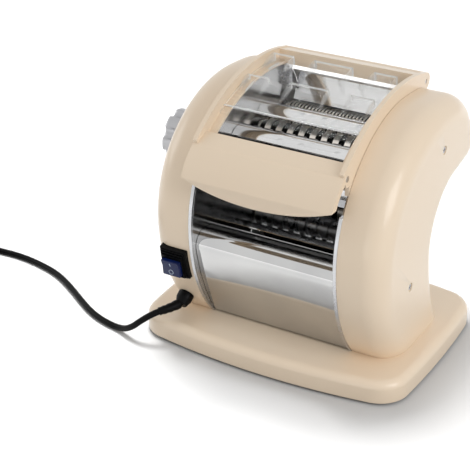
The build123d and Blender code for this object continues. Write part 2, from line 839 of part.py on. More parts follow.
with BuildPart() as fine_gear_front:
    rod(bush_end + flat_gap, b_end, fine_front, hub_radius)
    gear(layer_a, fine_front, pair_module, pair_teeth, 0)
    gear(layer_b, fine_front, link_module, link_teeth, link_phase)
    square_bore(fine_front, square)
keep(fine_gear_front.part, "fine_gear_front")

with BuildPart() as fine_gear_rear:
    rod(bush_end + flat_gap, a_end, fine_rear, hub_radius)
    gear(layer_a, fine_rear, pair_module, pair_teeth, fine_phase)
    square_bore(fine_rear, square)
keep(fine_gear_rear.part, "fine_gear_rear")

with BuildPart() as idler_gear:
    rod(layer_c - flat_gap, c_end + flat_gap, idler, hub_radius)
    gear(layer_c, idler, train_module, idler_teeth, 0)
    rod(layer_c - 1, c_end + 1, idler, axle_radius + running_clearance, mode=Mode.SUBTRACT)
keep(idler_gear.part, "idler_gear")

with BuildPart() as reduction_gear:
    rod(layer_c - flat_gap, d_end + flat_gap, reducer, hub_radius)
    gear(layer_c, reducer, train_module, reducer_pinion_teeth, reducer_pinion_phase)
    gear(layer_d, reducer, motor_module, reducer_teeth, 0)
    rod(layer_c - 1, d_end + 1, reducer, axle_radius + running_clearance, mode=Mode.SUBTRACT)
keep(reduction_gear.part, "reduction_gear")

with BuildPart() as gear_axles:
    for place, end in ((idler, c_end), (reducer, d_end)):
        cap = end + 2 * flat_gap
        rod(plate_in, cap, place, axle_radius)
        rod(plate_out, layer_c - 2 * flat_gap, place, axle_head_radius)
        rod(cap, cap + axle_head, place, axle_head_radius)
keep(gear_axles.part, "gear_axles")

# ============================================================================ motor
motor_end = plate_in - motor_standoff - motor_plate
motor_start = motor_end - motor_length
with BuildPart() as motor_case:
    rod(motor_start, motor_end, motor, motor_radius)
    rod(motor_start + motor_wall, motor_end - motor_wall, motor, motor_radius - motor_wall, mode=Mode.SUBTRACT)
    for start, end in ((motor_start, motor_start + 3 * motor_wall), (motor_end - 3 * motor_wall, motor_end)):
        rod(start, end, motor, 2.5 * motor_shaft_radius)
        rod(start, end, motor, motor_shaft_radius + running_clearance, mode=Mode.SUBTRACT)
keep(motor_case.part, "motor_case")

rotor_middle = (motor_start + motor_end) / 2
with BuildPart() as motor_rotor:
    rod(rotor_middle - rotor_length / 2, rotor_middle + rotor_length / 2, motor, rotor_radius)
    rod(motor_start + flat_gap, layer_d - flat_gap, motor, motor_shaft_radius)
    square_end(layer_d - flat_gap, d_end, motor, pinion_square)
keep(motor_rotor.part, "motor_rotor")

with BuildPart() as motor_pinion:
    gear(layer_d, motor, motor_module, motor_teeth, motor_phase)
    square_bore(motor, pinion_square)
keep(motor_pinion.part, "motor_pinion")

with BuildPart() as motor_bracket:
    with BuildSketch(Plane.YZ.offset(motor_end)):
        with Locations(motor):
            Circle(motor_radius)
            Circle(motor_shaft_radius + 1, mode=Mode.SUBTRACT)
    extrude(amount=motor_plate)
    with BuildSketch(Plane.YZ.offset(motor_end + motor_plate)):
        with Locations(motor):
            with PolarLocations(motor_radius - post_radius - 1, 4, start_angle=45):
                Circle(post_radius)
    extrude(amount=motor_standoff)
keep(motor_bracket.part, "motor_bracket")

with BuildPart() as run_capacitor:
    capacitor_x = -plate_out - flat_gap - capacitor_radius
    with BuildSketch(Plane.XY.offset(capacitor_place[1])):
        with Locations((capacitor_x, capacitor_place[0])):
            Circle(capacitor_radius)
    extrude(amount=capacitor_length)
    bar(
        (capacitor_x, capacitor_place[0] - capacitor_radius, capacitor_place[1] + capacitor_length / 3),
        (-plate_out, capacitor_place[0] + capacitor_radius, capacitor_place[1] + 2 * capacitor_length / 3),
    )
keep(run_capacitor.part, "run_capacitor")

# ============================================================================ thickness regulator
cam_back = -block_end - 2 * flat_gap
follower_y = smooth_rear_y + cam_start + curved_gap + follower_radius
with BuildPart() as roller_carrier:
    for side in (-1, 1):
        start = min(side * block_start, side * block_end)
        back = block_half_y if side > 0 else follower_y - smooth_rear_y + follower_radius + 1
        bar(
            (start, smooth_rear_y - block_half_y, roller_z - block_half_z),
            (start + block_thickness, smooth_rear_y + back, roller_z + block_half_z),
        )
        rod(start, start + block_thickness, smooth_rear, journal_radius + running_clearance, mode=Mode.SUBTRACT)
    rod(cam_back - cam_thickness, -block_end, (follower_y, roller_z), follower_radius)
keep(roller_carrier.part, "roller_carrier")

cam_corners = []
for step in range(cam_points):
    turn = 2 * pi * step / cam_points
    lift = gap_travel * min(turn / radians(cam_turn), 1.0)
    if turn > radians(cam_turn):
        lift = gap_travel * (2 * pi - turn) / (2 * pi - radians(cam_turn))
    cam_corners.append(((cam_start + lift) * cos(-turn), (cam_start + lift) * sin(-turn)))

with BuildPart() as regulator_shaft:
    with BuildSketch(Plane.YZ.offset(cam_back - cam_thickness)):
        with Locations(smooth_rear):
            Polygon(*cam_corners, align=None)
    extrude(amount=cam_thickness)
    shaft_end = knob_side - index_thickness - flat_gap - knob_height
    rod(shaft_end + washer_thickness, cam_back - cam_thickness, smooth_rear, regulator_radius)
    rod(shaft_end, shaft_end + washer_thickness, smooth_rear, washer_radius)
keep(regulator_shaft.part, "regulator_shaft")

with BuildPart() as index_plate:
    with BuildSketch(Plane.YZ.offset(knob_side - index_thickness)):
        with Locations(smooth_rear):
            Circle(index_radius)
            Circle(regulator_radius + curved_gap, mode=Mode.SUBTRACT)
            with PolarLocations(index_ring_radius, index_count, angular_range=cam_turn, endpoint=True):
                Circle(index_hole_radius, mode=Mode.SUBTRACT)
    extrude(amount=index_thickness)
keep(index_plate.part, "index_plate")

knob_back = knob_side - index_thickness - flat_gap
with BuildPart() as knob:
    with BuildSketch(Plane.YZ.offset(knob_back - knob_height)):
        with Locations(smooth_rear):
            Circle(knob_radius)
            with PolarLocations(scallop_centre, knob_lobes):
                Circle(scallop_radius, mode=Mode.SUBTRACT)
    extrude(amount=knob_height)
    fillet(faces().sort_by(Axis.X)[0].edges(), radius=knob_edge)
    recess_end = knob_back - knob_height + knob_recess_depth
    rod(knob_back - knob_height, recess_end, smooth_rear, knob_recess_radius, mode=Mode.SUBTRACT)
    rod(recess_end, knob_back, smooth_rear, regulator_radius + running_clearance, mode=Mode.SUBTRACT)
keep(knob.part, "knob")

spring_start = shaft_end + washer_thickness + spring_wire + flat_gap
spring_end = recess_end - spring_wire - flat_gap
with BuildPart() as knob_spring:
    spring_height = spring_end - spring_start
    with BuildLine() as spring_line:
        Helix(
            pitch=spring_height / spring_turns,
            height=spring_height,
            radius=spring_radius,
            center=(spring_start, smooth_rear_y, roller_z),
            direction=(1, 0, 0),
        )
    with BuildSketch(Plane(origin=spring_line.line @ 0, z_dir=spring_line.line % 0)):
        Circle(spring_wire)
    sweep(path=spring_line.line, is_frenet=True)
keep(knob_spring.part, "knob_spring")

# ============================================================================ dividers, scrapers and combs
divider_front_points = [
    (smooth_rear_y - 7.3, roller_z + 18.2),
    (smooth_rear_y + 4.0, roller_z + 23.6),
    (wide_front_y - 9.5, roller_z + 17.2),
]
divider_rear_points = [
    (wide_rear_y - 12.0, roller_z + 22.0),
    (wide_rear_y, roller_z + 31.0),
    (wide_rear_y + 15.5, roller_z + 20.5),
]
with BuildPart() as divider_front:
    with BuildSketch(Plane.YZ.offset(-half_sheet)):
        with BuildLine():
            ThreePointArc(divider_front_points[0], divider_front_points[1], divider_front_points[2])
            offset(amount=sheet, side=Side.RIGHT, closed=True)
        make_face()
    extrude(amount=2 * half_sheet)
keep(divider_front.part, "divider_front")

with BuildPart() as divider_rear:
    with BuildSketch(Plane.YZ.offset(-half_sheet)):
        with BuildLine():
            ThreePointArc(divider_rear_points[0], divider_rear_points[1], divider_rear_points[2])
            offset(amount=sheet, side=Side.RIGHT, closed=True)
        make_face()
    extrude(amount=2 * half_sheet)
keep(divider_rear.part, "divider_rear")

scraper_half = 0.8
scraper_height = 9.0
with BuildPart() as roller_scrapers:
    for place_y in (smooth_front_y, smooth_rear_y):
        top = roller_z - smooth_radius - curved_gap
        bar((-plate_in, place_y - scraper_half, top - scraper_height), (plate_in, place_y + scraper_half, top))
keep(roller_scrapers.part, "roller_scrapers")


def comb(place_y, pitch, first_ring, rings, height):
    """A bar under a cutter with one finger in each groove between the rings, in the part being built."""
    top = roller_z - ring_radius - curved_gap
    bar((-plate_in, place_y - scraper_half, top - height), (plate_in, place_y + scraper_half, top))
    half_finger = pitch / 4 - ring_clearance
    finger_top = roller_z - core_radius - curved_gap
    with BuildSketch(Plane.XZ.offset(-place_y - scraper_half)) as fingers:
        for ring in range(rings - 1):
            middle = first_ring + pitch * (ring + 0.5)
            with Locations((middle, (top + finger_top) / 2)):
                Rectangle(2 * half_finger, finger_top - top)
    extrude(fingers.sketch, amount=2 * scraper_half)


comb_sets = [
    ("wide_cutter_combs", (wide_front_y, wide_rear_y), wide_pitch, 8.0),
    ("fine_cutter_combs", (fine_front_y, fine_rear_y), fine_pitch, 2.6),
]
for name, places, pitch, height in comb_sets:
    with BuildPart() as comb_pair:
        for shifted, place_y in enumerate(places):
            comb(place_y, pitch, *ring_row(pitch, shifted), height)
    keep(comb_pair.part, name)

# ============================================================================ switch and gland
window_half_v = rocker_radius + curved_gap
with BuildPart() as switch_bezel:
    with BuildSketch(switch_plane.offset(-switch_depth)):
        Rectangle(2 * switch_half_x, 2 * switch_half_v)
    extrude(amount=switch_depth + switch_proud)
    fillet(faces().sort_by(Axis(switch_plane.origin, switch_out))[-1].edges(), radius=bezel_rounding)
    with BuildSketch(switch_plane.offset(-switch_depth)):
        Rectangle(2 * (rocker_half_x + flat_gap), 2 * window_half_v)
    extrude(amount=switch_depth + switch_proud, mode=Mode.SUBTRACT)
keep(switch_bezel.part, "switch_bezel")

with BuildPart() as switch_body:
    with BuildSketch(switch_plane.offset(-switch_depth)):
        Rectangle(2 * (rocker_half_x + switch_body_margin), 2 * (window_half_v + switch_body_margin))
    extrude(amount=-switch_body_depth)
keep(switch_body.part, "switch_body")

# The rocker rests with its upper end pressed in, so its own up direction leans into the housing.
rocker_origin = Vector(*switch_plane.origin) + Vector(*switch_out) * rocker_pivot
rocker_lean = switch_lean - radians(rocker_tilt)
rocker_up = (0, -sin(rocker_lean), cos(rocker_lean))
rocker_plane = Plane(origin=rocker_origin, x_dir=rocker_up, z_dir=(1, 0, 0))
with BuildPart() as rocker:
    with BuildSketch(rocker_plane.offset(-rocker_half_x)):
        Circle(rocker_radius)
        with BuildLine() as rocker_cut:
            Polyline(
                (-2 * rocker_radius, rocker_middle + 2 * rocker_slope * rocker_radius),
                (0, rocker_middle),
                (2 * rocker_radius, rocker_middle + 2 * rocker_slope * rocker_radius),
                (2 * rocker_radius, 2 * rocker_radius),
                (-2 * rocker_radius, 2 * rocker_radius),
                close=True,
            )
        make_face(rocker_cut.edges(), mode=Mode.SUBTRACT)
    extrude(amount=2 * rocker_half_x)
keep(rocker.part, "rocker")
print("rocker pivot", tuple(rocker_origin), "normal", switch_out, "gland", tuple(gland_plane.origin), gland_out)

with BuildPart() as cord_gland:
    with BuildSketch(gland_plane):
        Circle(gland_radius)
    extrude(amount=gland_length - gland_tip / 2)
    with BuildSketch(gland_plane.offset(gland_length - gland_tip / 2)):
        Circle(gland_radius)
    extrude(amount=gland_tip, taper=gland_taper)
    with BuildSketch(gland_plane):
        Circle(gland_tip_radius)
    extrude(amount=-housing_wall - gland_tail)
keep(cord_gland.part, "cord_gland")

# ============================================================================ guard
with BuildSketch() as rail_side:
    with Locations(guard_centre):
        Circle(guard_radius)
    add(region((rail_front, deck), (hinge[0], reach)), mode=Mode.INTERSECT)
    add(inset_outline(rail_bury), mode=Mode.SUBTRACT)
    add(region((rail_front - 1, deck), (rail_heel[0] + 6, rail_heel[1])), mode=Mode.SUBTRACT)
    Polygon(
        (rail_front - 1, rail_heel[1] + 18),
        (rail_heel[0], rail_heel[1]),
        (rail_heel[0], rail_heel[1] - 5),
        (rail_front - 1, rail_heel[1] - 5),
        align=None,
        mode=Mode.SUBTRACT,
    )
    add(region((rail_front, deck), (hinge[0], deck + 150)), mode=Mode.SUBTRACT)
    with Locations(hinge):
        Circle(hinge_eye)
        Circle(hinge_pin_radius + running_clearance, mode=Mode.SUBTRACT)

with BuildSketch() as ledge_side:
    with Locations(guard_centre):
        Circle(guard_radius - ledge_drop)
        Circle(guard_radius - ledge_drop - ledge_thickness, mode=Mode.SUBTRACT)
    add(region((apron_top[0], guard_centre[1]), (rear_bar_front + ledge_thickness, reach)), mode=Mode.INTERSECT)

with BuildSketch() as rear_bar_side:
    with Locations(guard_centre):
        Circle(guard_radius - 1)
        Circle(guard_radius - 1 - apron_thickness, mode=Mode.SUBTRACT)
    add(region((rear_bar_front, guard_centre[1]), (hinge[0] - 3, reach)), mode=Mode.INTERSECT)
    with BuildSketch(mode=Mode.PRIVATE) as web:
        with Locations(guard_centre):
            Circle(guard_radius - 1)
            Circle(guard_radius - ledge_drop - ledge_thickness, mode=Mode.SUBTRACT)
        web_end = rear_bar_front + ledge_thickness
        add(region((rear_bar_front, guard_centre[1]), (web_end, reach)), mode=Mode.INTERSECT)
    add(web.sketch_local)
    with BuildSketch(mode=Mode.PRIVATE) as knuckle:
        with Locations(hinge):
            Circle(hinge_eye)
            Circle(hinge_eye - 2, mode=Mode.SUBTRACT)
        add(region((hinge[0] - 3, hinge[1] - 1), (reach, reach)), mode=Mode.INTERSECT)
    add(knuckle.sketch_local)

with BuildSketch() as apron_side:
    with BuildLine():
        brow = ThreePointArc(apron_top, apron_middle, apron_low)
        TangentArc(apron_low, apron_tip, tangent=brow % 1)
        offset(amount=apron_thickness, side=Side.LEFT, closed=True)
    make_face()

with BuildSketch() as apron_lip_side:
    with BuildLine():
        brow = ThreePointArc(apron_top, apron_middle, apron_low)
        TangentArc(apron_low, apron_tip, tangent=brow % 1)
        offset(amount=apron_lip, side=Side.LEFT, closed=True)
    make_face()

with BuildPart() as apron_cut:
    with BuildSketch(Plane.XZ.offset(reach / 2)):
        with BuildLine():
            edge = ThreePointArc(
                (-rail_out - 1, apron_side_z), (0, apron_middle_z), (rail_out + 1, apron_side_z)
            )
            Polyline(edge @ 1, (rail_out + 1, deck), (-rail_out - 1, deck), edge @ 0)
        make_face()
    extrude(amount=-reach)

with BuildPart() as guard_frame:
    with BuildSketch(Plane.YZ.offset(-rail_out)):
        add(apron_side.sketch_local)
    extrude(amount=2 * rail_out)
    for side in (-1, 1):
        with BuildSketch(Plane.YZ.offset(min(side * rail_out, side * (rail_out - apron_thickness)))):
            add(apron_lip_side.sketch_local)
        extrude(amount=apron_thickness)
    add(apron_cut.part, mode=Mode.SUBTRACT)
    for side in (-1, 1):
        with BuildSketch(Plane.YZ.offset(min(side * rail_in, side * rail_out))):
            add(rail_side.sketch_local)
        extrude(amount=rail_out - rail_in)
        with BuildSketch(Plane.YZ.offset(min(side * ledge_in, side * rail_in))):
            add(ledge_side.sketch_local)
        extrude(amount=rail_in - ledge_in)
    with BuildSketch(Plane.YZ.offset(-rail_in)):
        add(rear_bar_side.sketch_local)
    extrude(amount=2 * rail_in)
keep(guard_frame.part, "guard_frame")

with BuildPart() as guard_rivets:
    for side in (-1, 1):
        place = (rail_heel[0] + 1, rail_heel[1] + 9)
        start = side * rail_out
        end = start + side * 0.3
        rod(min(start, end), max(start, end), place, 3)
keep(guard_rivets.part, "guard_rivets")

# The clear window: a curved sheet with two feed slots, each under three finger hoods with fins at their ends.
window_radius = guard_radius - ledge_drop + window_thickness
hood_sheet = 2.0
hood_sink = 1.0
hood_root = 4.0
hood_overrun = 2.0
hood_bulge = 2.2
hood_rows = [
    (-25.0, -5.0, 7.0, hood_spans),
    (22.0, 47.0, 10.0, hood_spans),
]


def window_height(y):
    """The height of the window's upper face at y."""
    return guard_centre[1] + sqrt(window_radius**2 - (y - guard_centre[0]) ** 2)


with BuildPart() as guard_window:
    with BuildSketch(Plane.YZ.offset(-rail_in + sheet_side_gap)):
        with Locations(guard_centre):
            Circle(window_radius)
            Circle(window_radius - window_thickness, mode=Mode.SUBTRACT)
        add(region((window_front, guard_centre[1]), (window_back, reach)), mode=Mode.INTERSECT)
    extrude(amount=2 * (rail_in - sheet_side_gap))
    for front, back, rise, spans in hood_rows:
        slot_front = front + hood_root
        slot_back = back + hood_overrun
        bar((-slot_half_x, slot_front, deck), (slot_half_x, slot_back, reach), mode=Mode.SUBTRACT)
        low = window_height(front) - hood_sink
        high = window_height(back) + rise
        bulge = ((front + back) / 2 - hood_bulge, (low + high) / 2 + hood_bulge)
        fin_foot = (slot_back, window_height(back) - hood_sink)
        fin_neck = (slot_back, window_height(back) + rise / 2)
        for left, right in spans:
            with BuildSketch(Plane.YZ.offset(left)):
                with BuildLine():
                    ThreePointArc((front, low), bulge, (back, high))
                    offset(amount=hood_sheet, side=Side.RIGHT, closed=True)
                make_face()
            extrude(amount=right - left)
            for end in (left, right - hood_sheet):
                with BuildSketch(Plane.YZ.offset(end)):
                    with BuildLine():
                        curve = ThreePointArc((front, low), bulge, (back, high))
                        Polyline(curve @ 1, fin_neck, fin_foot, (slot_front, low), curve @ 0)
                    make_face()
                extrude(amount=hood_sheet)
keep(guard_window.part, "guard_window")

# Each lug stands inside its rail and reaches the side plate through a pad that lies below the rail.
lug_out = rail_in - flat_gap
lug_in = lug_out - lug_thickness
lug_back = hinge[0] + 1.0
lug_front = hinge[0] - lug_radius
lug_foot = hinge[1] - lug_drop
with BuildPart() as hinge_lugs:
    for side in (-1, 1):
        with BuildSketch(Plane.YZ.offset(min(side * lug_in, side * lug_out))):
            with Locations(hinge):
                Circle(lug_radius)
            add(region((lug_front, lug_foot), (lug_back, hinge[1])))
        extrude(amount=lug_thickness)
        pad_low = (min(side * lug_out, side * plate_in), lug_front, lug_foot)
        pad_high = (max(side * lug_out, side * plate_in), lug_back, lug_foot + lug_pad)
        bar(pad_low, pad_high)
    rod(-plate_in, plate_in, hinge, hinge_pin_radius, mode=Mode.SUBTRACT)
keep(hinge_lugs.part, "hinge_lugs")

with BuildPart() as hinge_pins:
    for side in (-1, 1):
        start = side * lug_in
        end = side * (rail_out - hinge_pin_inset)
        rod(min(start, end), max(start, end), hinge, hinge_pin_radius)
keep(hinge_pins.part, "hinge_pins")


# ============================================================================ cord, coil and plug
def route_radii(points):
    """The largest arc at each corner that its two runs allow."""
    radii = []
    for before, corner, after in zip(points, points[1:], points[2:]):
        inward = Vector(*corner) - Vector(*before)
        outward = Vector(*after) - Vector(*corner)
        turn = radians(inward.get_angle(outward))
        radii.append(0.45 * min(inward.length, outward.length) / tan(turn / 2))
    return radii


def cord_tube(points, name):
    """A tube of the cord's radius along straight runs and tangent arcs, in the part being built."""
    radii = route_radii(points)
    with BuildLine() as path:
        FilletPolyline(*points, radius=radii)
    route = path.wires()[0]
    with BuildSketch(Plane(origin=route @ 0, z_dir=route % 0)) as section:
        Circle(cord_radius)
    tube = sweep(section.sketch, path=route)
    swept = route.length * pi * cord_radius**2
    print(name, "length", round(route.length, 1), "radii", [round(r) for r in radii])
    print(name, "volume ratio", round(tube.volume / swept, 4))


with BuildPart() as power_cord:
    cord_tube(cord_points, "power_cord")
    cord_tube(tail_points, "cord_tail")
keep(power_cord.part, "power_cord")

with BuildPart() as cord_coil:
    with BuildSketch():
        with Locations(coil_centre):
            Circle(coil_outer)
            Circle(coil_inner, mode=Mode.SUBTRACT)
    extrude(amount=coil_height)
    fillet(edges(), radius=cord_radius)
keep(cord_coil.part, "cord_coil")

plug_place = Vector(*tail_points[-1])
plug_heading = (Vector(*tail_points[-1]) - Vector(*tail_points[-2])).normalized()
plug_heading = Vector(plug_heading.X, plug_heading.Y, 0).normalized()
plug_plane = Plane(origin=plug_place, x_dir=(0, 0, 1), z_dir=plug_heading)
with BuildPart() as plug_body:
    with BuildSketch(plug_plane):
        Circle(cord_radius + 1.2)
    with BuildSketch(plug_plane.offset(plug_relief)):
        Circle(plug_neck)
    loft()
    with BuildSketch(plug_plane.offset(plug_relief)):
        Circle(plug_radius)
    extrude(amount=plug_length)
keep(plug_body.part, "plug_body")

with BuildPart() as plug_pins:
    with BuildSketch(plug_plane.offset(plug_relief + plug_length)):
        with Locations((0, -pin_spacing / 2), (0, pin_spacing / 2)):
            Circle(pin_radius)
    extrude(amount=pin_length)
keep(plug_pins.part, "plug_pins")
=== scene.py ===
"""Dresses the electric pasta machine and builds its fittings, its mains lead and its studio."""
import json
import logging
import math
from dataclasses import dataclass, replace
from enum import Enum
from typing import Iterable, Mapping, Sequence

import bmesh
import bpy
from mathutils import Euler, Matrix, Vector


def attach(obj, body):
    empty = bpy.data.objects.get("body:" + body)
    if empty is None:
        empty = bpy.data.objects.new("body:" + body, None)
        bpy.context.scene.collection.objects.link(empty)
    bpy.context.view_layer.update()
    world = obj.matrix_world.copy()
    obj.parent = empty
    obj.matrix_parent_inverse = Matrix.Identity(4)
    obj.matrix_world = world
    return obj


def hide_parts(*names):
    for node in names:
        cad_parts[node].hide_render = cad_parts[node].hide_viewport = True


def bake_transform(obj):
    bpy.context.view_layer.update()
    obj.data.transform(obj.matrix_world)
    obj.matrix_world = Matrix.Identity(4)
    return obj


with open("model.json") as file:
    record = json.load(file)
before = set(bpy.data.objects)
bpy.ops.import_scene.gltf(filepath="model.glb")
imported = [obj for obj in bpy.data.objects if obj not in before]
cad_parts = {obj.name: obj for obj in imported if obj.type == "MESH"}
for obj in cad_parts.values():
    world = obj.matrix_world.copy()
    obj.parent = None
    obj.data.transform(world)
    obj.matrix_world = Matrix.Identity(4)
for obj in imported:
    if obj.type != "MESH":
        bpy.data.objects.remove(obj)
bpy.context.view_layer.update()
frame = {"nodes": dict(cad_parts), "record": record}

log = logging.getLogger("pasta_machine")
Colour = tuple[float, float, float, float]
Point = tuple[float, float, float]
Span = tuple[float, float]
Inputs = Mapping[str | int, object]
Form = bmesh.types.BMesh
Loop = list[bmesh.types.BMEdge]
Piece = bpy.types.Object
Socket = bpy.types.NodeSocket

MM = 0.001
PER_MM = 1000.0
MERGE = 2e-6  # points of a CAD mesh that are nearer than this are one, in metres
FLAT = 0.2  # its faces that turn by less than this are one face, in degrees
UP = Vector((0, 0, 1))
RIGHT = Vector((1, 0, 0))

UNIT: Span = (0.0, 1.0)
NOISE_SPAN: Span = (0.32, 0.68)  # where most of a noise's values lie
DRIFT_DETAIL = 3.0
GRAIN_DETAIL = 2.0
COAT_ROUGHNESS = 0.08
CLEAR_IOR = 1.45

AXLE_HEIGHT = 195.0  # Z of all the rollers' axes, in millimetres
GROOVE_RADIUS = 12.6  # a cutter roller's grooves are painted in shade up to this radius, in millimetres
LAND_RADIUS = 13.3  # and keep the steel's own colour from this one
# painted shade: the near black that the grooves' bottoms are painted, for the shade that falls
# there
GROOVE_SHADE_COLOUR = "161616"


def linear(code: str) -> Colour:
    """Turns a display colour into the linear values that a shader takes.

    Args:
        code: six hexadecimal digits, such as "E5D2B8".

    Returns:
        The three linear channel values and a full alpha.
    """
    channels = [int(code[place:place + 2], 16) / 255 for place in (0, 2, 4)]
    return (*(c / 12.92 if c <= 0.04045 else ((c + 0.055) / 1.055) ** 2.4 for c in channels), 1.0)


def grey(level: float) -> Colour:
    """A neutral colour, given as its linear value."""
    return (level, level, level, 1.0)


def millimetres(*values: float) -> Vector:
    """A point or direction given in millimetres, as a vector in metres."""
    return Vector(values) * MM


# ---- finishes
@dataclass(frozen=True)
class Tree:
    """A node tree, with short ways to add the nodes that the finishes and the studio share."""

    owner: bpy.types.NodeTree

    def feed(self, node: bpy.types.Node, inputs: Inputs) -> None:
        """Sets the inputs of a node.

        Args:
            node: the node.
            inputs: for each input, by name or place, its value or the socket that leads to it.
        """
        for name, value in inputs.items():
            if isinstance(value, Socket):
                self.owner.links.new(value, node.inputs[name])
            else:
                node.inputs[name].default_value = value

    def add(self, kind: str, inputs: Inputs, operation: str = "") -> bpy.types.Node:
        """Adds a node.

        Args:
            kind: the name of its type, without "ShaderNode".
            inputs: its inputs, as feed takes them.
            operation: what a math node does.

        Returns:
            The node.
        """
        node = self.owner.nodes.new("ShaderNode" + kind)
        if operation:
            node.operation = operation
        self.feed(node, inputs)
        return node

    def place(self) -> Socket:
        """Adds the Object coordinates."""
        return self.add("TexCoord", {}).outputs["Object"]

    def length(self, vector: Socket) -> Socket:
        """Adds the length of a vector."""
        return self.add("VectorMath", {0: vector}, "LENGTH").outputs["Value"]

    def noise(self, vector: Socket, size: float, detail: float) -> Socket:
        """Adds the grey value of a noise with blots of a size in millimetres."""
        inputs = {"Scale": PER_MM / size, "Detail": detail, "Vector": vector}
        return self.add("TexNoise", inputs).outputs["Fac"]

    def carry(self, value: Socket, source: Span, target: Span) -> Socket:
        """Carries a value from one span to another, and holds it there."""
        inputs = {"From Min": source[0], "From Max": source[1], "To Min": target[0],
                  "To Max": target[1], "Value": value}
        return self.add("MapRange", inputs).outputs["Result"]

    def mix(self, factor: Socket, first: object, second: object) -> Socket:
        """Adds a blend of two colours.

        Args:
            factor: 0 for the first, 1 for the second.
            first: a colour or the socket that leads to it.
            second: the other one.

        Returns:
            The blended colour.
        """
        node = self.add("Mix", {})
        node.data_type = "RGBA"
        self.feed(node, {"Factor": factor, "A": first, "B": second})
        return node.outputs["Result"]

    def seen(self) -> Socket:
        """Tells the rays that see the surroundings, straight or in metal and glass, from the rest.

        Returns:
            1 for the rays that see, and 0 for those that light.
        """
        rays = self.add("LightPath", {}).outputs
        seen = rays["Is Camera Ray"]
        for name in ("Is Glossy Ray", "Is Transmission Ray"):
            seen = self.add("Math", {0: seen, 1: rays[name]}, "MAXIMUM").outputs[0]
        return seen


class Grain(Enum):
    """The surface that a maker's process leaves, as the stretch of its grain along X, Y and Z."""

    MOULDED = (1.0, 1.0, 1.0)
    DRAWN_ALONG_X = (0.03, 1.0, 1.0)
    DRAWN_ALONG_Z = (1.0, 1.0, 0.03)
    TURNED_ABOUT_X = (1.0, 0.02, 0.02)


@dataclass(frozen=True)
class Finish:
    """One finish: two close colours, a band of roughness and a fine grain, in millimetres.

    Args:
        name: the material's name.
        colour: the main display colour.
        shade: the display colour that the main one drifts to.
        roughness: the lowest and highest roughness.
        metallic: 1 for bare metal, 0 for the rest.
        coat: weight of a clear top layer.
        grain: the stretch of the grain.
        grain_size: the size of the grain.
        grain_depth: its height, or 0 for none.
        drift_size: the size of the colour drift and of handling smudges.
        specular: how strongly its surface mirrors, 0.5 for most.
        transmission: weight of light let through.
        alpha: how much of the surface covers what is behind it.
        axis: Y and Z of the axis that a grooved roller turns about, round which its grooves get
            painted shade.
    """

    name: str
    colour: str
    shade: str
    roughness: Span
    metallic: float = 0.0
    coat: float = 0.0
    grain: Grain = Grain.MOULDED
    grain_size: float = 0.8
    grain_depth: float = 0.01
    drift_size: float = 60.0
    specular: float = 0.5
    transmission: float = 0.0
    alpha: float = 1.0
    axis: Span | None = None

    def material(self) -> bpy.types.Material:
        """Builds the node material on Object coordinates, or finds it if it was built before.

        Returns:
            The material.
        """
        known = bpy.data.materials.get(self.name)
        if known:
            return known
        made = bpy.data.materials.new(self.name)
        made.use_nodes = True
        tree = Tree(made.node_tree)
        shader = made.node_tree.nodes["Principled BSDF"]
        place = tree.place()
        drift = tree.noise(place, self.drift_size, DRIFT_DETAIL)
        share = tree.carry(drift, NOISE_SPAN, UNIT)
        tone = tree.mix(share, linear(self.colour), linear(self.shade))
        tree.feed(shader, {
            "Metallic": self.metallic,
            "Specular IOR Level": self.specular,
            "Coat Weight": self.coat,
            "Coat Roughness": COAT_ROUGHNESS,
            "Transmission Weight": self.transmission,
            "Alpha": self.alpha,
            "Base Color": self.shade_grooves(tree, place, tone) if self.axis else tone,
            "Roughness": tree.carry(drift, NOISE_SPAN, self.roughness),
        })
        if self.transmission:
            tree.feed(shader, {"IOR": CLEAR_IOR})
        if self.grain_depth:
            stretch = tree.add("Mapping", {"Scale": self.grain.value, "Vector": place})
            grain = tree.noise(stretch.outputs["Vector"], self.grain_size, GRAIN_DETAIL)
            depth = self.grain_depth * MM
            bump = tree.add("Bump", {"Strength": 1.0, "Distance": depth, "Height": grain})
            tree.feed(shader, {"Normal": bump.outputs["Normal"]})
        return made

    def shade_grooves(self, tree: Tree, place: Socket, tone: Socket) -> Socket:
        """Paints shade into the bottoms of a cutter roller's grooves, under its ground lands.

        Args:
            tree: the material's node tree.
            place: the Object coordinates.
            tone: the colour of the lands.

        Returns:
            The colour of the lands, and of the painted shade in the grooves.
        """
        shift = (0, -self.axis[0] * MM, -self.axis[1] * MM)
        across = tree.add("Mapping", {"Scale": (0, 1, 1), "Location": shift, "Vector": place})
        radius = tree.length(across.outputs["Vector"])
        raised = tree.carry(radius, (GROOVE_RADIUS * MM, LAND_RADIUS * MM), UNIT)
        # painted shade in the grooves, the steel's own tone on the lands
        return tree.mix(raised, linear(GROOVE_SHADE_COLOUR), tone)

    def dress(self, piece: Piece) -> None:
        """Puts this finish on a whole piece.

        Args:
            piece: the piece.
        """
        made = self.material()
        if piece.material_slots:
            for place in piece.material_slots:
                place.material = made
        else:
            piece.data.materials.append(made)


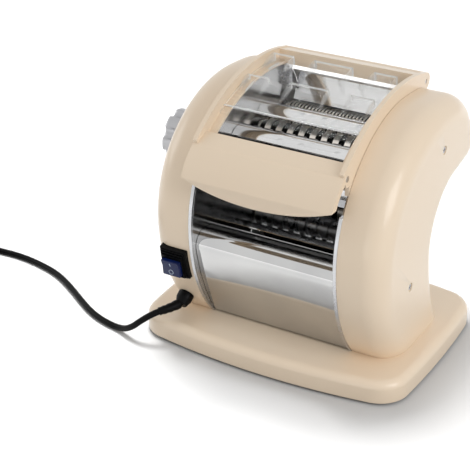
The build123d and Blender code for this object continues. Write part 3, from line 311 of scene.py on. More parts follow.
CREAM = Finish("cream_lacquer", "EBD8BF", "EAD6BD", (0.285, 0.295), coat=0.15, grain_size=1.6,
               grain_depth=0.006, drift_size=90.0)
MIRROR = Finish("mirror_steel", "D9D9D8", "D3D3D3", (0.045, 0.065), metallic=1.0,
                grain=Grain.DRAWN_ALONG_X, grain_size=0.5, grain_depth=0.0001, drift_size=45.0)
CHUTE = replace(MIRROR, name="chute_steel", colour="C8C8C7", shade="C0C0C0")
PLATE = Finish("polished_plate", "D2D2D2", "CCCCCD", (0.13, 0.17), metallic=1.0,
               grain=Grain.DRAWN_ALONG_Z, grain_size=0.5, grain_depth=0.0004)
SATIN = Finish("satin_aluminium", "C9CACC", "BEBFC2", (0.22, 0.30), metallic=1.0,
               grain=Grain.DRAWN_ALONG_Z, grain_size=0.25, grain_depth=0.002, drift_size=25.0)
# Painted reflection: the back cover's forward faces are near-white satin, standing in for the
# polished plate's reflection of the white surroundings.
PAINTED_REFLECTION_SATIN = replace(SATIN, name="pale_painted_reflection", colour="F6F6F6", shade="F1F1F1",
                 roughness=(0.34, 0.38), metallic=0.1, drift_size=60.0)
ROLLER = Finish("ground_roller", "D6D6D6", "CACACB", (0.20, 0.30), metallic=1.0,
                grain=Grain.TURNED_ABOUT_X, grain_size=0.3, grain_depth=0.002, drift_size=22.0)
STAMPED = Finish("stamped_steel", "ADAEB0", "9FA0A3", (0.24, 0.34), metallic=1.0,
                 grain_size=0.4, drift_size=15.0)
GEAR = Finish("oiled_steel", "7C7B79", "6A6866", (0.28, 0.42), metallic=1.0, grain_size=0.4,
              drift_size=8.0)
ACETAL = Finish("white_acetal", "E6E4DC", "DCD9CF", (0.34, 0.44), grain_size=0.5,
                drift_size=12.0)
ENAMEL = Finish("black_enamel", "1B1B1D", "232325", (0.25, 0.38), coat=0.3, grain_size=0.9,
                drift_size=20.0)
CASE = Finish("grey_case", "BDBDB8", "B2B2AD", (0.40, 0.50), grain_size=0.6, drift_size=18.0)
KNOB = Finish("knob_metal", "C6C7C9", "B4B5B8", (0.05, 0.10), metallic=1.0, grain_size=0.7,
              grain_depth=0.004, drift_size=9.0)
BLACK = Finish("black_moulding", "060607", "0A0A0B", (0.30, 0.42), grain_size=0.35,
               grain_depth=0.02, drift_size=14.0, specular=0.08)
SHEATH = Finish("cord_sheath", "050506", "090909", (0.30, 0.40), grain_size=0.5,
                grain_depth=0.015, drift_size=20.0, specular=0.08)
BLUE = Finish("blue_rocker", "0C1F52", "091846", (0.20, 0.28), grain_size=0.5, drift_size=8.0,
              specular=0.25)
PAINT = Finish("pale_mark_paint", "C4D2E4", "B8C8DC", (0.45, 0.55), grain_size=0.2,
               drift_size=2.0)
RUBBER = Finish("black_rubber", "161514", "1E1C1A", (0.65, 0.80), grain_size=0.3,
                grain_depth=0.03, drift_size=10.0, specular=0.25)
NICKEL = Finish("nickelled_brass", "CFC6A8", "C2B893", (0.18, 0.28), metallic=1.0,
                grain_size=0.5, drift_size=7.0)
ZINC = Finish("plated_steel", "B9BABD", "A9AAAE", (0.20, 0.32), metallic=1.0, grain_size=0.4,
              drift_size=6.0)
# Painted highlight: near-opaque white on the clear sheet's rims, eased edges and rib, standing in
# for the bright light along its edges.
EDGE_HIGHLIGHT = Finish("clear_edge_painted_highlight", "FFFFFF", "F8FBFB", (0.12, 0.22), grain_depth=0.0,
                  drift_size=30.0, transmission=0.15, alpha=0.85)
# Painted reflection: milky white on the hoods' fins, standing in for the light they reflect inside
# the clear sheet.
FIN_SHEEN = Finish("clear_fin_painted_sheen", "FFFFFF", "F4F8F8", (0.10, 0.20), grain_depth=0.0, drift_size=30.0,
             transmission=0.2, alpha=0.26)
CLEAR = Finish("clear_polycarbonate", "FAFCFC", "F6FAFA", (0.0, 0.012), grain_depth=0.0,
               drift_size=50.0, transmission=1.0, alpha=0.05)


def cutter_steel(name: str, axis_y: float) -> Finish:
    """The warm ground steel of a cutter roller, with painted shade in its grooves round the axis
    at axis_y.
    """
    return replace(ROLLER, name=name + "_steel", colour="EFE9E1", shade="E6DFD6",
                   roughness=(0.30, 0.42), axis=(axis_y, AXLE_HEIGHT))


# A finish, the width of the eased edges in millimetres, and the CAD nodes that wear them. Where
# the width is 0 the node itself is dressed. A node that isn't listed is dressed in GEAR.
WARDROBE = (
    (CREAM, 0.9, "left_housing", "right_housing"),
    (CREAM, 0.8, "base"),
    (CREAM, 0.6, "guard_frame"),
    (PLATE, 0.35, "left_side_plate", "right_side_plate"),
    (PLATE, 0.3, "back_cover"),
    (CHUTE, 0.3, "front_chute"),
    (MIRROR, 0.0, "slide_plate"),
    (MIRROR, 0.3, "divider_front", "divider_rear"),
    (SATIN, 0.3, "left_trim_strip", "right_trim_strip"),
    (SATIN, 0.2, "index_plate"),
    (ROLLER, 0.0, "smooth_roller_front", "smooth_roller_rear"),
    (cutter_steel("wide_cutter_rear", 34.5), 0.0, "wide_cutter_rear"),
    (cutter_steel("fine_cutter_front", 63.1), 0.0, "fine_cutter_front"),
    (cutter_steel("fine_cutter_rear", 89.1), 0.0, "fine_cutter_rear"),
    (STAMPED, 0.0, "wide_cutter_front", "roller_scrapers", "wide_cutter_combs",
     "fine_cutter_combs"),
    (ACETAL, 0.0, "roller_bushes", "idler_gear", "reduction_gear"),
    (ENAMEL, 0.8, "motor_case"),
    (CASE, 0.8, "run_capacitor"),
    (KNOB, 0.5, "knob"),
    (BLACK, 0.0, "switch_body"),
    (BLACK, 0.3, "switch_bezel"),
    (BLACK, 0.4, "cord_gland"),
    (BLUE, 0.0, "rocker"),
    (RUBBER, 0.8, "rubber_feet"),
    (NICKEL, 0.6, "plug_pins"),
    (ZINC, 0.0, "knob_spring"),
    (ZINC, 0.1, "guard_rivets"),
    (ZINC, 0.3, "hinge_pins", "base_screws"),
    (ZINC, 0.4, "hinge_lugs"),
)
OUTFITS = {node: (finish, width) for finish, width, *nodes in WARDROBE for node in nodes}


def body_of(node: str) -> str:
    """The CAD body that a node belongs to."""
    bodies = frame["record"]["behaviour"]["bodies"]
    return next(body for body, members in bodies.items() if node in members)


def copy_of(node: str) -> Form:
    """Copies a CAD node's mesh and merges its triangles into one skin.

    Args:
        node: the CAD node, which stays as it is.

    Returns:
        The copy.
    """
    form = bmesh.new()
    form.from_mesh(frame["nodes"][node].data)
    bmesh.ops.remove_doubles(form, verts=form.verts, dist=MERGE)
    return form


def piece_from(form: Form, name: str, smooth: float = 35.0) -> Piece:
    """Makes an object at the origin from a finished bmesh, and frees the bmesh.

    Args:
        form: the shape, in the row frame.
        name: the piece's name.
        smooth: the turn below which an edge is shaded smooth, in degrees.

    Returns:
        The new object.
    """
    mesh = bpy.data.meshes.new(name)
    form.to_mesh(mesh)
    form.free()
    mesh.shade_smooth()
    mesh.set_sharp_from_angle(angle=math.radians(smooth))
    piece = bpy.data.objects.new(name, mesh)
    bpy.context.scene.collection.objects.link(piece)
    return piece


def eased_copy(node: str, name: str, smooth: float, width: float, sharp: float) -> Piece:
    """Copies a CAD node with whole faces and eased edges.

    Args:
        node: the CAD node.
        name: the copy's name.
        smooth: the turn below which an edge is shaded smooth, in degrees.
        width: the width of the eased edge, in millimetres.
        sharp: the turn above which an edge is eased, in degrees.

    Returns:
        The copy.
    """
    form = copy_of(node)
    bmesh.ops.dissolve_limit(form, angle_limit=math.radians(FLAT), verts=form.verts,
                             edges=form.edges)
    piece = piece_from(form, name, smooth)
    ease = piece.modifiers.new("ease", "BEVEL")
    ease.width = width * MM
    ease.segments = 2
    ease.limit_method = "ANGLE"
    ease.angle_limit = math.radians(sharp)
    return piece


def settle(piece: Piece, finish: Finish | None, node: str, *replaced: str) -> None:
    """Dresses a piece and puts it on the body of a CAD node.

    Args:
        piece: the piece, in place.
        finish: its finish, or None if it is dressed already.
        node: the CAD node.
        replaced: the CAD nodes that the piece stands for.
    """
    if finish:
        finish.dress(piece)
    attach(piece, body_of(node))
    if replaced:
        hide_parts(*replaced)
    log.info("%s rides on %s", piece.name, body_of(node))


def once(items: Iterable[object]) -> list[object]:
    """Lists each item once, in the order in which they come."""
    return list(dict.fromkeys(items))


def add_bar(form: Form, size: Vector, place: Matrix) -> None:
    """Adds a bar with square edges.

    Args:
        form: the bmesh it goes in.
        size: its lengths along its own axes, in metres.
        place: its frame, with the origin in its middle.
    """
    bar = bmesh.ops.create_cube(form, size=1.0)["verts"]
    bmesh.ops.scale(form, vec=size, verts=bar)
    bmesh.ops.transform(form, matrix=place, verts=bar)


def add_ring(form: Form, place: Matrix, radius: float, sides: int) -> Loop:
    """Adds an open ring of edges in the XY plane of its frame, with its radius in metres."""
    made = bmesh.ops.create_circle(form, cap_ends=False, segments=sides, radius=radius,
                                   matrix=place)
    return once(edge for vertex in made["verts"] for edge in vertex.link_edges)


def skin(form: Form, loops: Sequence[Loop], around: bool = False) -> None:
    """Joins rings of edges, one to the next, into a closed skin.

    Args:
        form: the bmesh that holds them.
        loops: the rings, in order.
        around: whether the last ring meets the first, or else both get a cap.
    """
    for first, second in zip(loops, (*loops[1:], loops[0]) if around else loops[1:]):
        bmesh.ops.bridge_loops(form, edges=first + second)
    for end in () if around else (loops[0], loops[-1]):
        bmesh.ops.contextual_create(form, geom=end)
    bmesh.ops.recalc_face_normals(form, faces=form.faces)


def extrude(form: Form, faces: Sequence[bmesh.types.BMFace],
            travel: Vector) -> list[bmesh.types.BMVert]:
    """Extrudes faces.

    Args:
        form: the bmesh that holds them.
        faces: the faces.
        travel: how far and which way, in metres.

    Returns:
        The corners that moved.
    """
    grown = bmesh.ops.extrude_face_region(form, geom=faces)["geom"]
    moved = [item for item in grown if isinstance(item, bmesh.types.BMVert)]
    bmesh.ops.translate(form, vec=travel, verts=moved)
    return moved


def frame_at(origin: Vector, axis: Vector, up: Vector = UP) -> Matrix:
    """A frame whose Z runs along axis, with its Y as near to up as that allows.

    Args:
        origin: the frame's origin.
        axis: the direction of its Z.
        up: the direction that its Y leans to.

    Returns:
        The frame as a matrix.
    """
    z_axis = axis.normalized()
    x_axis = up.cross(z_axis).normalized()
    y_axis = z_axis.cross(x_axis)
    turned = Matrix((x_axis, y_axis, z_axis)).transposed().to_4x4()
    return Matrix.Translation(origin) @ turned


# ---- the machine
@dataclass
class Bodywork:
    """The CAD shapes, with eased edges where a moulding or a pressed sheet is seen.

    Args:
        sharp: the turn above which an edge is eased, in degrees.
        inward: a face of the back cover gets the pale painted reflection where its normal's Y is
            below this.
    """

    sharp: float = 32.0
    inward: float = -0.3

    def build(self) -> None:
        """Dresses every CAD node but the window, and makes the eased copies."""
        for node, shape in sorted(frame["nodes"].items()):
            finish, width = OUTFITS.get(node, (GEAR, 0.0))
            if node == "guard_window":
                continue
            if not width:
                finish.dress(shape)
                log.info("%s is dressed as it is", node)
                continue
            piece = eased_copy(node, node + "_eased", self.sharp, width, self.sharp)
            settle(piece, finish, node, node)
            if node == "back_cover":
                self.paint_reflection_inside(piece)

    def paint_reflection_inside(self, cover: Piece) -> None:
        """Gives the faces of the back cover that look forwards a pale painted reflection.

        Args:
            cover: the eased back cover.
        """
        cover.data.materials.append(PAINTED_REFLECTION_SATIN.material())
        for face in cover.data.polygons:
            # a forward face gets the painted reflection
            if face.normal.y < self.inward:
                face.material_index = 1


@dataclass
class GuardWindow:
    """The clear guard sheet with its finger hoods: clear faces, fins in a milky painted
    reflection, cut edges in a white painted highlight.

    Args:
        centre: Y and Z of the sheet's own axis, in millimetres.
        radius: of the sheet's upper face.
        half_width: half its width.
        slender: a rim is narrower than this.
        edge_on: the cosine of a rim's normal to the sheet's is below this.
        sideways: X of a fin's normal is above this.
        smooth: the turn below which an edge is shaded smooth, in degrees.
        ease: the width of the eased edge.
        sharp: the turn above which an edge is eased, in degrees.
        rib_y: Y of the rib across it.
        rib: the rib's depth and height.
        finishes: those of the sheet, its rims with their painted highlight and its fins with their
            painted reflection.
    """

    centre: Span = (32.5, 72.8)
    radius: float = 194.8
    half_width: float = 75.7
    slender: float = 2.6
    edge_on: float = 0.6
    sideways: float = 0.9
    smooth: float = 30.0
    ease: float = 0.3
    sharp: float = 40.0
    rib_y: float = -45.8
    rib: Span = (1.1, 1.0)
    finishes: tuple[Finish, Finish, Finish] = (CLEAR, EDGE_HIGHLIGHT, FIN_SHEEN)

    def build(self) -> None:
        """Makes the window, which stands for the CAD window, and its rib."""
        piece = eased_copy("guard_window", "clear_window", self.smooth, self.ease, self.sharp)
        for finish in self.finishes:
            piece.data.materials.append(finish.material())
        for face in piece.data.polygons:
            face.material_index = self.finishes.index(self.finish_of(piece.data, face))
        # the eased edges wear the painted highlight too
        piece.modifiers["ease"].material = self.finishes.index(EDGE_HIGHLIGHT)
        settle(piece, None, "guard_window", "guard_window")
        self.build_rib()

    def build_rib(self) -> None:
        """Makes the slender rib across the sheet, behind its front edge, in the rims' white
        painted highlight.
        """
        lean = math.asin((self.rib_y - self.centre[0]) / self.radius)
        spot = millimetres(0, self.rib_y, self.centre[1] + self.radius * math.cos(lean))
        place = Matrix.Translation(spot) @ Matrix.Rotation(-lean, 4, "X")
        form = bmesh.new()
        add_bar(form, millimetres(2 * self.half_width, *self.rib), place)
        settle(piece_from(form, "window_rib"), EDGE_HIGHLIGHT, "guard_window")

    def finish_of(self, mesh: bpy.types.Mesh, face: bpy.types.MeshPolygon) -> Finish:
        """Tells the narrow rims, painted as a highlight, and the fins, painted as a milky
        reflection, from the sheet's broad faces.

        Args:
            mesh: the window's mesh.
            face: one of its faces.

        Returns:
            What the face wears.
        """
        middle = face.center
        out = middle - millimetres(0, *self.centre)
        out.x = 0.0
        out.normalize()
        corners = [mesh.vertices[place].co for place in face.vertices]
        around = sum((a - b).length for a, b in zip(corners, corners[1:] + corners[:1]))
        narrow = 2 * face.area / around < self.slender * MM
        near = around < self.radius * MM or middle.y < self.rib_y * MM
        if abs(face.normal.dot(out)) < self.edge_on and narrow and near:
            # a rim is painted as a white highlight
            return EDGE_HIGHLIGHT
        # a fin is painted milky as a reflection; the broad faces stay clear
        return FIN_SHEEN if abs(face.normal.x) > self.sideways else CLEAR


@dataclass
class HousingScrews:
    """The four cross-head screws that hold the housings, each in its recess, in millimetres.

    Args:
        places: (Y, Z) of the screws.
        outer: X of the housings' outer faces.
        depth: how deep the recess is.
        head: the radius of a head.
        dome: the height of a head.
        taper: the share of its radius that its top keeps.
        arm: half the length of the cross.
        half: half the width of its arms.
        sunk: how deep it is.
        near: how far below the top a face may lie and still belong to it.
    """

    places: tuple[Span, ...] = ((27.7, 219.8), (-36.7, 99.7))
    outer: float = 128.0
    depth: float = 1.6
    head: float = 3.8
    dome: float = 0.9
    taper: float = 0.82
    arm: float = 2.3
    half: float = 0.45
    sunk: float = 0.7
    near: float = 0.05

    def build(self) -> None:
        """Makes the screws as one piece that stands for the CAD screws."""
        head = self.head_mesh()
        form = bmesh.new()
        for side in (-1, 1):
            for place_y, place_z in self.places:
                floor = millimetres(side * (self.outer - self.depth), place_y, place_z)
                known = len(form.verts)
                form.from_mesh(head)
                bmesh.ops.transform(form, matrix=frame_at(floor, RIGHT * side),
                                    verts=form.verts[known:])
        bpy.data.meshes.remove(head)
        settle(piece_from(form, "housing_cross_screws"), ZINC, "housing_screws",
               "housing_screws")

    def head_mesh(self) -> bpy.types.Mesh:
        """Makes one domed head with a cross in it, facing Z.

        Returns:
            The head.
        """
        cap = bmesh.new()
        bmesh.ops.create_circle(cap, cap_ends=True, segments=32, radius=self.head * MM)
        raised = extrude(cap, cap.faces[:], millimetres(0, 0, self.dome))
        bmesh.ops.scale(cap, vec=(self.taper, self.taper, 1), verts=raised)
        bmesh.ops.recalc_face_normals(cap, faces=cap.faces)
        self.cut_cross(cap)
        head = bpy.data.meshes.new("screw_head")
        cap.to_mesh(head)
        cap.free()
        return head

    def cut_cross(self, cap: Form) -> None:
        """Sinks a cross into the top of a head.

        Args:
            cap: the head, with its top towards Z.
        """
        arm, half = self.arm * MM, self.half * MM
        top = max(vertex.co.z for vertex in cap.verts) - self.near * MM
        for axis in (Vector((1, 0, 0)), Vector((0, 1, 0))):
            for offset in (-arm, -half, half, arm):
                upper = [face for face in cap.faces if face.calc_center_median().z > top]
                around = once(item for face in upper for item in (*face.edges, *face.verts))
                bmesh.ops.bisect_plane(cap, geom=upper + around, plane_co=axis * offset,
                                       plane_no=axis, dist=1e-7)
        cross = []
        for face in cap.faces:
            middle = face.calc_center_median()
            near, far = sorted((abs(middle.x), abs(middle.y)))
            if middle.z > top and far < arm and near < half:
                cross.append(face)
        extrude(cap, cross, millimetres(0, 0, -self.sunk))
        bmesh.ops.delete(cap, geom=cross, context="FACES_ONLY")
        bmesh.ops.recalc_face_normals(cap, faces=cap.faces)


@dataclass
class RearGuide:
    """The bright sloping sheet behind the fine cutter, hung inside the back cover.

    Args:
        lower: Y and Z of its lower edge, in millimetres.
        upper: Y and Z of its upper edge, which meets the cover.
        half_width: half its width, clear of the hinge lugs.
        sheet: its thickness.
    """

    lower: Span = (88.0, 213.0)
    upper: Span = (101.6, 239.5)
    half_width: float = 69.0
    sheet: float = 0.8

    def build(self) -> None:
        """Makes the sheet."""
        low, high = millimetres(0, *self.lower), millimetres(0, *self.upper)
        slope = high - low
        size = Vector((2 * self.half_width * MM, slope.length, self.sheet * MM))
        form = bmesh.new()
        add_bar(form, size, frame_at((low + high) / 2, RIGHT.cross(slope), slope))
        settle(piece_from(form, "rear_guide"), MIRROR, "back_cover")


@dataclass
class ReturnSpring:
    """The spring in the knob's recess, kept in the shape it has in the CAD model."""

    smooth: float = 60.0

    def build(self) -> None:
        """Makes the spring, with one end on the shaft and the other in the knob."""
        form = copy_of("knob_spring")
        piece = piece_from(form, "return_spring", self.smooth)
        ZINC.dress(piece)
        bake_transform(piece)
        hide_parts("knob_spring")
        log.info("%s stretches from regulator to knob", piece.name)


@dataclass
class PowerSwitch:
    """The switch's stepped collar, its deep rocker and the marks on it, in millimetres.

    Args:
        pivot: the rocker's pivot.
        lean: how far the rocker's face leans down at rest, in degrees.
        bezel_lean: how far the bezel leans down.
        rise: from the pivot to the bezel's outer face.
        sunk: how far the collar reaches into the bezel.
        collar: half width, lower and upper end, and height of each of its steps.
        hole: the same of its hole, without the height.
        side: the rocker's outline from the side, as (up, out) from the pivot.
        face_corners: its points that bound the lower and the upper half of its face.
        half_width: half its width.
        ease: the width of its rounded edges.
        sharp: the turn above which its edge is rounded, in degrees.
        ring: the outer and the inner radius of the ring.
        line: the width and length of the line.
        proud: how far the paint stands out of the face.
    """

    pivot: Point = (-100.0, -101.626, 95.610)
    lean: float = 6.08
    bezel_lean: float = 15.08
    rise: float = 2.0
    sunk: float = 0.1
    collar: tuple[tuple[float, float, float, float], ...] = (
        (13.6, -15.9, 15.9, 1.2), (12.6, -14.7, 14.0, 2.6), (11.8, -13.9, 11.8, 4.0),
    )
    hole: Point = (10.9, -13.1, 8.0)
    side: tuple[Span, ...] = (
        (7.0, -1.0), (7.0, 12.0), (-1.6, 9.6), (-11.6, 9.4), (-11.6, 1.0), (-6.0, -4.0),
        (2.0, -4.0),
    )
    face_corners: tuple[tuple[int, int], tuple[int, int]] = ((3, 2), (2, 1))
    half_width: float = 10.2
    ease: float = 0.9
    sharp: float = 40.0
    ring: Span = (2.7, 2.2)
    line: Span = (0.9, 4.0)
    proud: float = 0.12

    def build(self) -> None:
        """Makes the collar, the rocker and its marks."""
        self.build_collar()
        self.build_rocker()
        self.build_marks()

    def stand(self, lean: float) -> Matrix:
        """A frame at the pivot with X to the right, Y up the switch and Z out of it.

        Args:
            lean: how far it leans down, in degrees.

        Returns:
            The frame as a matrix.
        """
        turn = math.radians(lean)
        out = Vector((0, -math.cos(turn), -math.sin(turn)))
        up = Vector((0, -math.sin(turn), math.cos(turn)))
        return frame_at(millimetres(*self.pivot), out, up)

    def face(self, half: int) -> Matrix:
        """A frame in the middle of one half of the rocker's face, with Y up it and Z out of it.

        Args:
            half: 0 for the lower half, 1 for the upper one.

        Returns:
            The frame as a matrix.
        """
        low, high = (millimetres(0, *self.side[corner]) for corner in self.face_corners[half])
        along = high - low
        return self.stand(self.lean) @ frame_at((low + high) / 2, RIGHT.cross(along), along)

    def build_collar(self) -> None:
        """Makes the stepped collar on the bezel."""
        form = bmesh.new()
        half_hole, hole_low, hole_high = self.hole
        stand = self.stand(self.bezel_lean)
        for half, low, high, height in self.collar:
            tall = height + self.sunk
            out = self.rise - self.sunk + tall / 2
            walls = (
                (-half, half, hole_high, high), (-half, half, low, hole_low),
                (-half, -half_hole, hole_low, hole_high), (half_hole, half, hole_low, hole_high),
            )
            for left, right, bottom, top in walls:
                middle = millimetres((left + right) / 2, (bottom + top) / 2, out)
                add_bar(form, millimetres(right - left, top - bottom, tall),
                        stand @ Matrix.Translation(middle))
        settle(piece_from(form, "switch_collar"), BLACK, "switch_bezel")

    def build_rocker(self) -> None:
        """Makes the deep rocker with its creased face, which stands for the CAD rocker."""
        form = bmesh.new()
        corners = [form.verts.new(millimetres(-self.half_width, *spot)) for spot in self.side]
        for before, after in zip(corners, corners[1:] + corners[:1]):
            form.edges.new((before, after))
        bmesh.ops.contextual_create(form, geom=form.edges[:])
        extrude(form, form.faces[:], millimetres(2 * self.half_width, 0, 0))
        bmesh.ops.recalc_face_normals(form, faces=form.faces)
        sharp = math.radians(self.sharp)
        rims = [edge for edge in form.edges if edge.calc_face_angle(0.0) > sharp]
        bmesh.ops.bevel(form, geom=rims, offset=self.ease * MM, segments=3, profile=0.5,
                        affect="EDGES", material=-1)
        bmesh.ops.transform(form, matrix=self.stand(self.lean), verts=form.verts)
        settle(piece_from(form, "deep_rocker", smooth=25.0), BLUE, "rocker", "rocker")

    def build_marks(self) -> None:
        """Makes the line and the ring as one piece."""
        form = bmesh.new()
        outer, inner = self.ring
        section = ((-self.proud, outer), (self.proud, outer), (self.proud, inner),
                   (-self.proud, inner))
        skin(form, [
            add_ring(form, Matrix.Translation((0, 0, height * MM)), radius * MM, sides=40)
            for height, radius in section
        ], around=True)
        bmesh.ops.transform(form, matrix=self.face(0), verts=form.verts)
        add_bar(form, millimetres(*self.line, 2 * self.proud), self.face(1))
        settle(piece_from(form, "rocker_marks"), PAINT, "rocker")


# ---- mains lead
@dataclass
class MainsLead:
    """The cord over the floor to its coil, with strain relief, tie and plug, in millimetres.

    Args:
        radius: the cord's radius.
        route: its points from the gland to the coil.
        tail: its points from the coil to the plug.
        coil: X and Y of the coil's middle.
        rings: the radii of the coil's turns.
        layers: the heights of its two layers.
        entry: the angle at which the cord meets the coil, in degrees.
        turns: how often it goes round.
        step: the angle from one of the coil's points to the next.
        outward: where in a turn the upper layer moves out a ring, and over what angle.
        rising: the same for the climb to the upper layer.
        inward: the same for the lower layer's move in a ring.
        sleeve: where along the cord the strain relief starts and ends.
        sleeve_radii: how far it stands off the cord, and how much of that it loses.
        ridges: how far its even and its odd rings stand out.
        tie_angle: where round the coil the tie sits, in degrees.
        tie_reach: half its width inside and half its height.
        tie_section: how far each of its rings stands out, and where along the cord.
        squareness: the power that squares its rings.
        plug_profile: (height, radius) pairs from the cord to the plug's face.
    """

    radius: float = 3.4
    route: tuple[Point, ...] = (
        (-103.0, -86.5, 40.0), (-107.3, -99.7, 39.1), (-118.1, -112.5, 36.8),
        (-131.0, -119.0, 27.5), (-146.0, -119.5, 13.0), (-163.0, -114.0, 3.9),
        (-186.0, -110.0, 3.5), (-209.0, -101.5, 3.5), (-233.0, -87.0, 3.5),
        (-262.0, -68.0, 3.5), (-294.0, -50.5, 3.5), (-328.0, -42.0, 3.5),
        (-356.0, -38.5, 3.5), (-392.0, -41.0, 3.5),
    )
    tail: tuple[Point, ...] = (
        (-408.0, -138.5, 11.5), (-393.0, -148.0, 15.0), (-377.0, -156.0, 18.5),
    )
    coil: Span = (-425.0, -88.0)
    rings: Point = (45.6, 38.7, 31.8)
    layers: Span = (3.5, 10.45)
    entry: float = 92.7
    turns: float = 5.46
    step: float = 15.0
    outward: Span = (168.0, 62.0)
    rising: Span = (230.0, 60.0)
    inward: Span = (290.0, 62.0)
    sleeve: Span = (1.0, 30.0)
    sleeve_radii: Span = (2.0, 1.5)
    ridges: Span = (-0.1, 0.35)
    tie_angle: float = 170.0
    tie_reach: Span = (10.3, 7.0)
    tie_section: tuple[Span, ...] = ((0.15, -2.5), (0.15, 2.5), (0.75, 2.5), (0.75, -2.5))
    squareness: float = 0.55
    plug_profile: tuple[Span, ...] = (
        (0.0, 3.5), (0.0, 4.5), (4.0, 5.0), (4.6, 5.9), (6.6, 6.1), (7.2, 5.4), (9.6, 5.8),
        (10.2, 6.8), (12.0, 8.0), (13.0, 12.5), (14.2, 15.6),
        *((15.0 + 2.4 * step + shift, 16.2 + lift) for step in range(6)
          for shift, lift in ((0.0, 0.0), (0.5, 0.6), (1.5, 0.6), (2.0, 0.0))),
        (31.0, 17.2), (33.5, 17.9), (47.5, 17.9), (49.3, 17.4), (50.0, 16.4), (50.0, 0.02),
    )

    def ring_point(self, degrees: float) -> Point:
        """A point of the coil.

        Args:
            degrees: how far round from the entry, over all the turns.

        Returns:
            The point, in millimetres.
        """
        turn, place = divmod(degrees, 360.0)
        outward, risen, inward = (
            min(max((place - start) / length, 0.0), 1.0)
            for start, length in (self.outward, self.rising, self.inward)
        )
        outer, middle, inner = self.rings
        low, high = self.layers
        radius, height = (
            (outer + (middle - outer) * inward, low),
            (middle + (inner - middle) * inward, low),
            (inner, low + (high - low) * risen),
            (inner + (middle - inner) * outward, high),
            (middle + (outer - middle) * outward, high),
            (outer, high),
        )[int(turn)]
        angle = math.radians(self.entry + place)
        return (self.coil[0] + radius * math.cos(angle),
                self.coil[1] + radius * math.sin(angle), height)

    def points(self) -> list[Vector]:
        """Lists all control points of the cord.

        Returns:
            The points from the gland to the plug, in metres.
        """
        steps = int(self.turns * 360 / self.step)
        coil = [self.ring_point(self.step * step) for step in range(steps + 1)]
        return [millimetres(*point) for point in (*self.route, *coil, *self.tail)]

    def build(self) -> None:
        cord = self.cord()
        line = self.centreline(cord)
        fittings = [self.strain_relief(line), self.coil_tie(), self.plug(),
                    bpy.data.objects["plug_pins_eased"]]

    def cord(self) -> Piece:
        """Makes the cord as one smooth spline.

        Returns:
            The cord.
        """
        curve = bpy.data.curves.new("mains_cord", "CURVE")
        curve.dimensions = "3D"
        curve.bevel_depth = self.radius * MM
        curve.bevel_resolution = 4
        curve.resolution_u = 6
        curve.use_fill_caps = True
        spline = curve.splines.new("NURBS")
        points = self.points()
        spline.points.add(len(points) - 1)
        for control, point in zip(spline.points, points):
            control.co = (*point, 1.0)
        spline.order_u = 3
        spline.use_endpoint_u = True
        piece = bpy.data.objects.new("mains_cord", curve)
        bpy.context.scene.collection.objects.link(piece)
        settle(piece, SHEATH, "power_cord", "power_cord", "cord_coil")
        return piece

    def centreline(self, cord: Piece) -> list[Vector]:
        """Reads the points along the cord's own spline.

        Args:
            cord: the cord.

        Returns:
            The points from the exit to the plug, in metres.
        """
        bare = cord.data.copy()
        bare.bevel_depth = 0.0
        probe = bpy.data.objects.new("probe", bare)
        bpy.context.scene.collection.objects.link(probe)
        bpy.context.view_layer.update()
        seen = probe.evaluated_get(bpy.context.evaluated_depsgraph_get())
        mesh = bpy.data.meshes.new_from_object(seen)
        line = [vertex.co.copy() for vertex in mesh.vertices]
        bpy.data.objects.remove(probe)
        bpy.data.curves.remove(bare)
        bpy.data.meshes.remove(mesh)
        return line

    def strain_relief(self, line: Sequence[Vector]) -> Piece:
        """Makes the ribbed, tapered sleeve round the cord's first stretch.

        Args:
            line: the cord's centreline.

        Returns:
            The sleeve.
        """
        form = bmesh.new()
        start, end = (place * MM for place in self.sleeve)
        thick, lost = self.sleeve_radii
        travelled, loops = 0.0, []
        for before, after in zip(line, line[1:]):
            travelled += (after - before).length
            if start < travelled < end:
                ridge = self.ridges[len(loops) % 2]
                radius = self.radius + thick - lost * travelled / end + ridge
                place = frame_at(after, after - before)
                loops.append(add_ring(form, place, radius * MM, sides=28))
        skin(form, loops)
        piece = piece_from(form, "strain_relief", smooth=50.0)
        settle(piece, BLACK, "cord_gland")
        return piece

    def coil_tie(self) -> Piece:
        """Makes the flat tie round the coil's turns, on the side away from the machine.

        Returns:
            The tie.
        """
        angle = math.radians(self.tie_angle)
        out = Vector((math.cos(angle), math.sin(angle), 0))
        middle = millimetres(*self.coil, self.tie_reach[1]) + out * self.rings[1] * MM
        place = frame_at(middle, out.cross(UP))
        form = bmesh.new()
        rings = []
        for wider, along in self.tie_section:
            reach = (self.tie_reach[0] + wider, self.tie_reach[1])
            loop = bmesh.ops.create_circle(form, cap_ends=False, segments=40, radius=1.0)["verts"]
            for vertex in loop:
                for axis, half in enumerate(reach):
                    share = vertex.co[axis]
                    vertex.co[axis] = math.copysign(abs(share) ** self.squareness, share) * half
                vertex.co.z = along
            bmesh.ops.transform(form, matrix=place @ Matrix.Scale(MM, 4), verts=loop)
            rings.append(once(edge for vertex in loop for edge in vertex.link_edges))
        skin(form, rings, around=True)
        piece = piece_from(form, "coil_tie")
        settle(piece, BLACK, "cord_coil")
        return piece

    def plug(self) -> Piece:
        """Makes the moulded two-pin plug with a ribbed grip.

        Returns:
            The plug.
        """
        end = millimetres(*self.tail[-1])
        heading = end - millimetres(*self.tail[-2])
        heading.z = 0.0
        place = frame_at(end, heading)
        form = bmesh.new()
        skin(form, [
            add_ring(form, place @ Matrix.Translation((0, 0, height * MM)), radius * MM, sides=56)
            for height, radius in self.plug_profile
        ])
        piece = piece_from(form, "moulded_plug", smooth=30.0)
        settle(piece, BLACK, "plug_body", "plug_body")
        return piece


# ---- studio
def facing(place: Point, target: Point) -> Euler:
    """The turn that makes a lamp or a camera look from one point at another."""
    return (Vector(target) - Vector(place)).to_track_quat("-Z", "Y").to_euler()


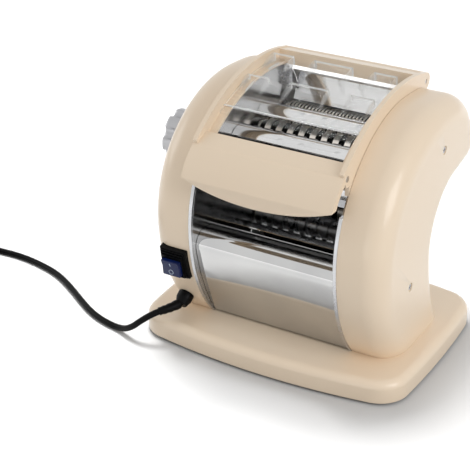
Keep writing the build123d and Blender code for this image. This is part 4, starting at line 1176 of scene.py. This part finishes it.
@dataclass(frozen=True)
class Lamp:
    """A soft square lamp, with its place, side and aim in metres and its power in watts."""

    name: str
    place: Point
    size: float
    power: float
    aim: Point = (0.0, 0.0, 0.12)

    def hang(self) -> Piece:
        """Makes the lamp.

        Returns:
            The lamp.
        """
        light = bpy.data.lights.new(self.name, "AREA")
        light.shape = "SQUARE"
        light.size = self.size
        light.energy = self.power
        lamp = bpy.data.objects.new(self.name, light)
        lamp.location = self.place
        lamp.rotation_euler = facing(self.place, self.aim)
        bpy.context.scene.collection.objects.link(lamp)
        return lamp

    def hang_over(self, piece: Piece) -> None:
        """Makes the lamp and lets it light one piece alone.

        Args:
            piece: the piece.
        """
        lit = bpy.data.collections.new(self.name + "_lights")
        lit.objects.link(piece)
        self.hang().light_linking.receiver_collection = lit


@dataclass
class Studio:
    """The pale floor, the soft lamps, the white surroundings and the camera.

    Args:
        eye: where the camera stands, in metres.
        aim: the point it looks at.
        lens: its focal length, in millimetres.
        sensor: the width of its sensor, in millimetres.
        near: what is nearer than this isn't shown, in metres.
        lamps: those that light the machine.
        floor_lamp: the one that lights the floor alone, for a soft shadow.
        world_levels: the strength of the surroundings that light, and that are seen.
        floor_levels: the same for the floor's grey.
        floor_size: half the floor's side, in metres.
        fade: where the floor starts and ends to turn white, in metres.
        glow: how strongly it glows there, where it is seen.
    """

    eye: Point = (0.5565, -1.1082, 0.7509)
    aim: Point = (-0.09003, 0.0, 0.08301)
    lens: float = 103.92
    sensor: float = 36.0
    near: float = 0.05
    lamps: tuple[Lamp, ...] = (
        Lamp("key_lamp", (1.5, -0.45, 0.85), 0.9, 9.6),
        Lamp("left_lamp", (-1.5, -0.3, 0.8), 0.8, 3.7),
        Lamp("front_lamp", (0.1, -1.5, 0.1), 0.6, 1.1),
    )
    floor_lamp: Lamp = Lamp("floor_lamp", (-0.3, 0.22, 1.6), 0.5, 36.0)
    world_levels: Span = (0.64, 1.0)
    floor_levels: Span = (0.32, 0.61)
    floor_size: float = 6.0
    fade: Span = (0.4, 1.6)
    glow: float = 0.9

    def build(self) -> None:
        """Builds the whole studio."""
        bpy.context.scene.view_settings.view_transform = "Standard"
        self.world()
        floor = self.floor()
        for lamp in self.lamps:
            lamp.hang()
        self.floor_lamp.hang_over(floor)
        self.camera()

    def world(self) -> None:
        """Makes the surroundings white where they are seen, and softer where they light."""
        world = bpy.data.worlds.new("studio")
        bpy.context.scene.world = world
        world.use_nodes = True
        tree = Tree(world.node_tree)
        strength = tree.carry(tree.seen(), UNIT, self.world_levels)
        tree.feed(world.node_tree.nodes["Background"],
                  {"Color": grey(1.0), "Strength": strength})

    def floor(self) -> Piece:
        """Lays the floor, which is paler where it is seen than where it lights the machine.

        Returns:
            The floor.
        """
        form = bmesh.new()
        bmesh.ops.create_grid(form, x_segments=2, y_segments=2, size=self.floor_size)
        piece = piece_from(form, "studio_floor")
        made = bpy.data.materials.new("studio_floor")
        made.use_nodes = True
        tree = Tree(made.node_tree)
        seen = tree.seen()
        faded = tree.carry(tree.length(tree.place()), self.fade, (0.0, self.glow))
        glow = tree.add("Math", {0: seen, 1: faded}, "MULTIPLY")
        tree.feed(made.node_tree.nodes["Principled BSDF"], {
            "Base Color": tree.mix(seen, *map(grey, self.floor_levels)),
            "Roughness": 0.9,
            "Specular IOR Level": 0.1,
            "Emission Color": grey(1.0),
            "Emission Strength": glow.outputs["Value"],
        })
        piece.data.materials.append(made)
        return piece

    def camera(self) -> None:
        """Sets up the camera."""
        data = bpy.data.cameras.new("camera")
        data.lens = self.lens
        data.sensor_width = self.sensor
        data.clip_start = self.near
        camera = bpy.data.objects.new("camera", data)
        camera.location = self.eye
        camera.rotation_euler = facing(self.eye, self.aim)
        bpy.context.scene.collection.objects.link(camera)
        bpy.context.scene.camera = camera


def main() -> None:
    """Builds the studio and the machine."""
    logging.basicConfig(level=logging.INFO, format="%(message)s")
    Studio().build()
    Bodywork().build()
    GuardWindow().build()
    HousingScrews().build()
    RearGuide().build()
    ReturnSpring().build()
    PowerSwitch().build()
    MainsLead().build()
    bpy.context.view_layer.update()


if __name__ == "__main__":
    main()
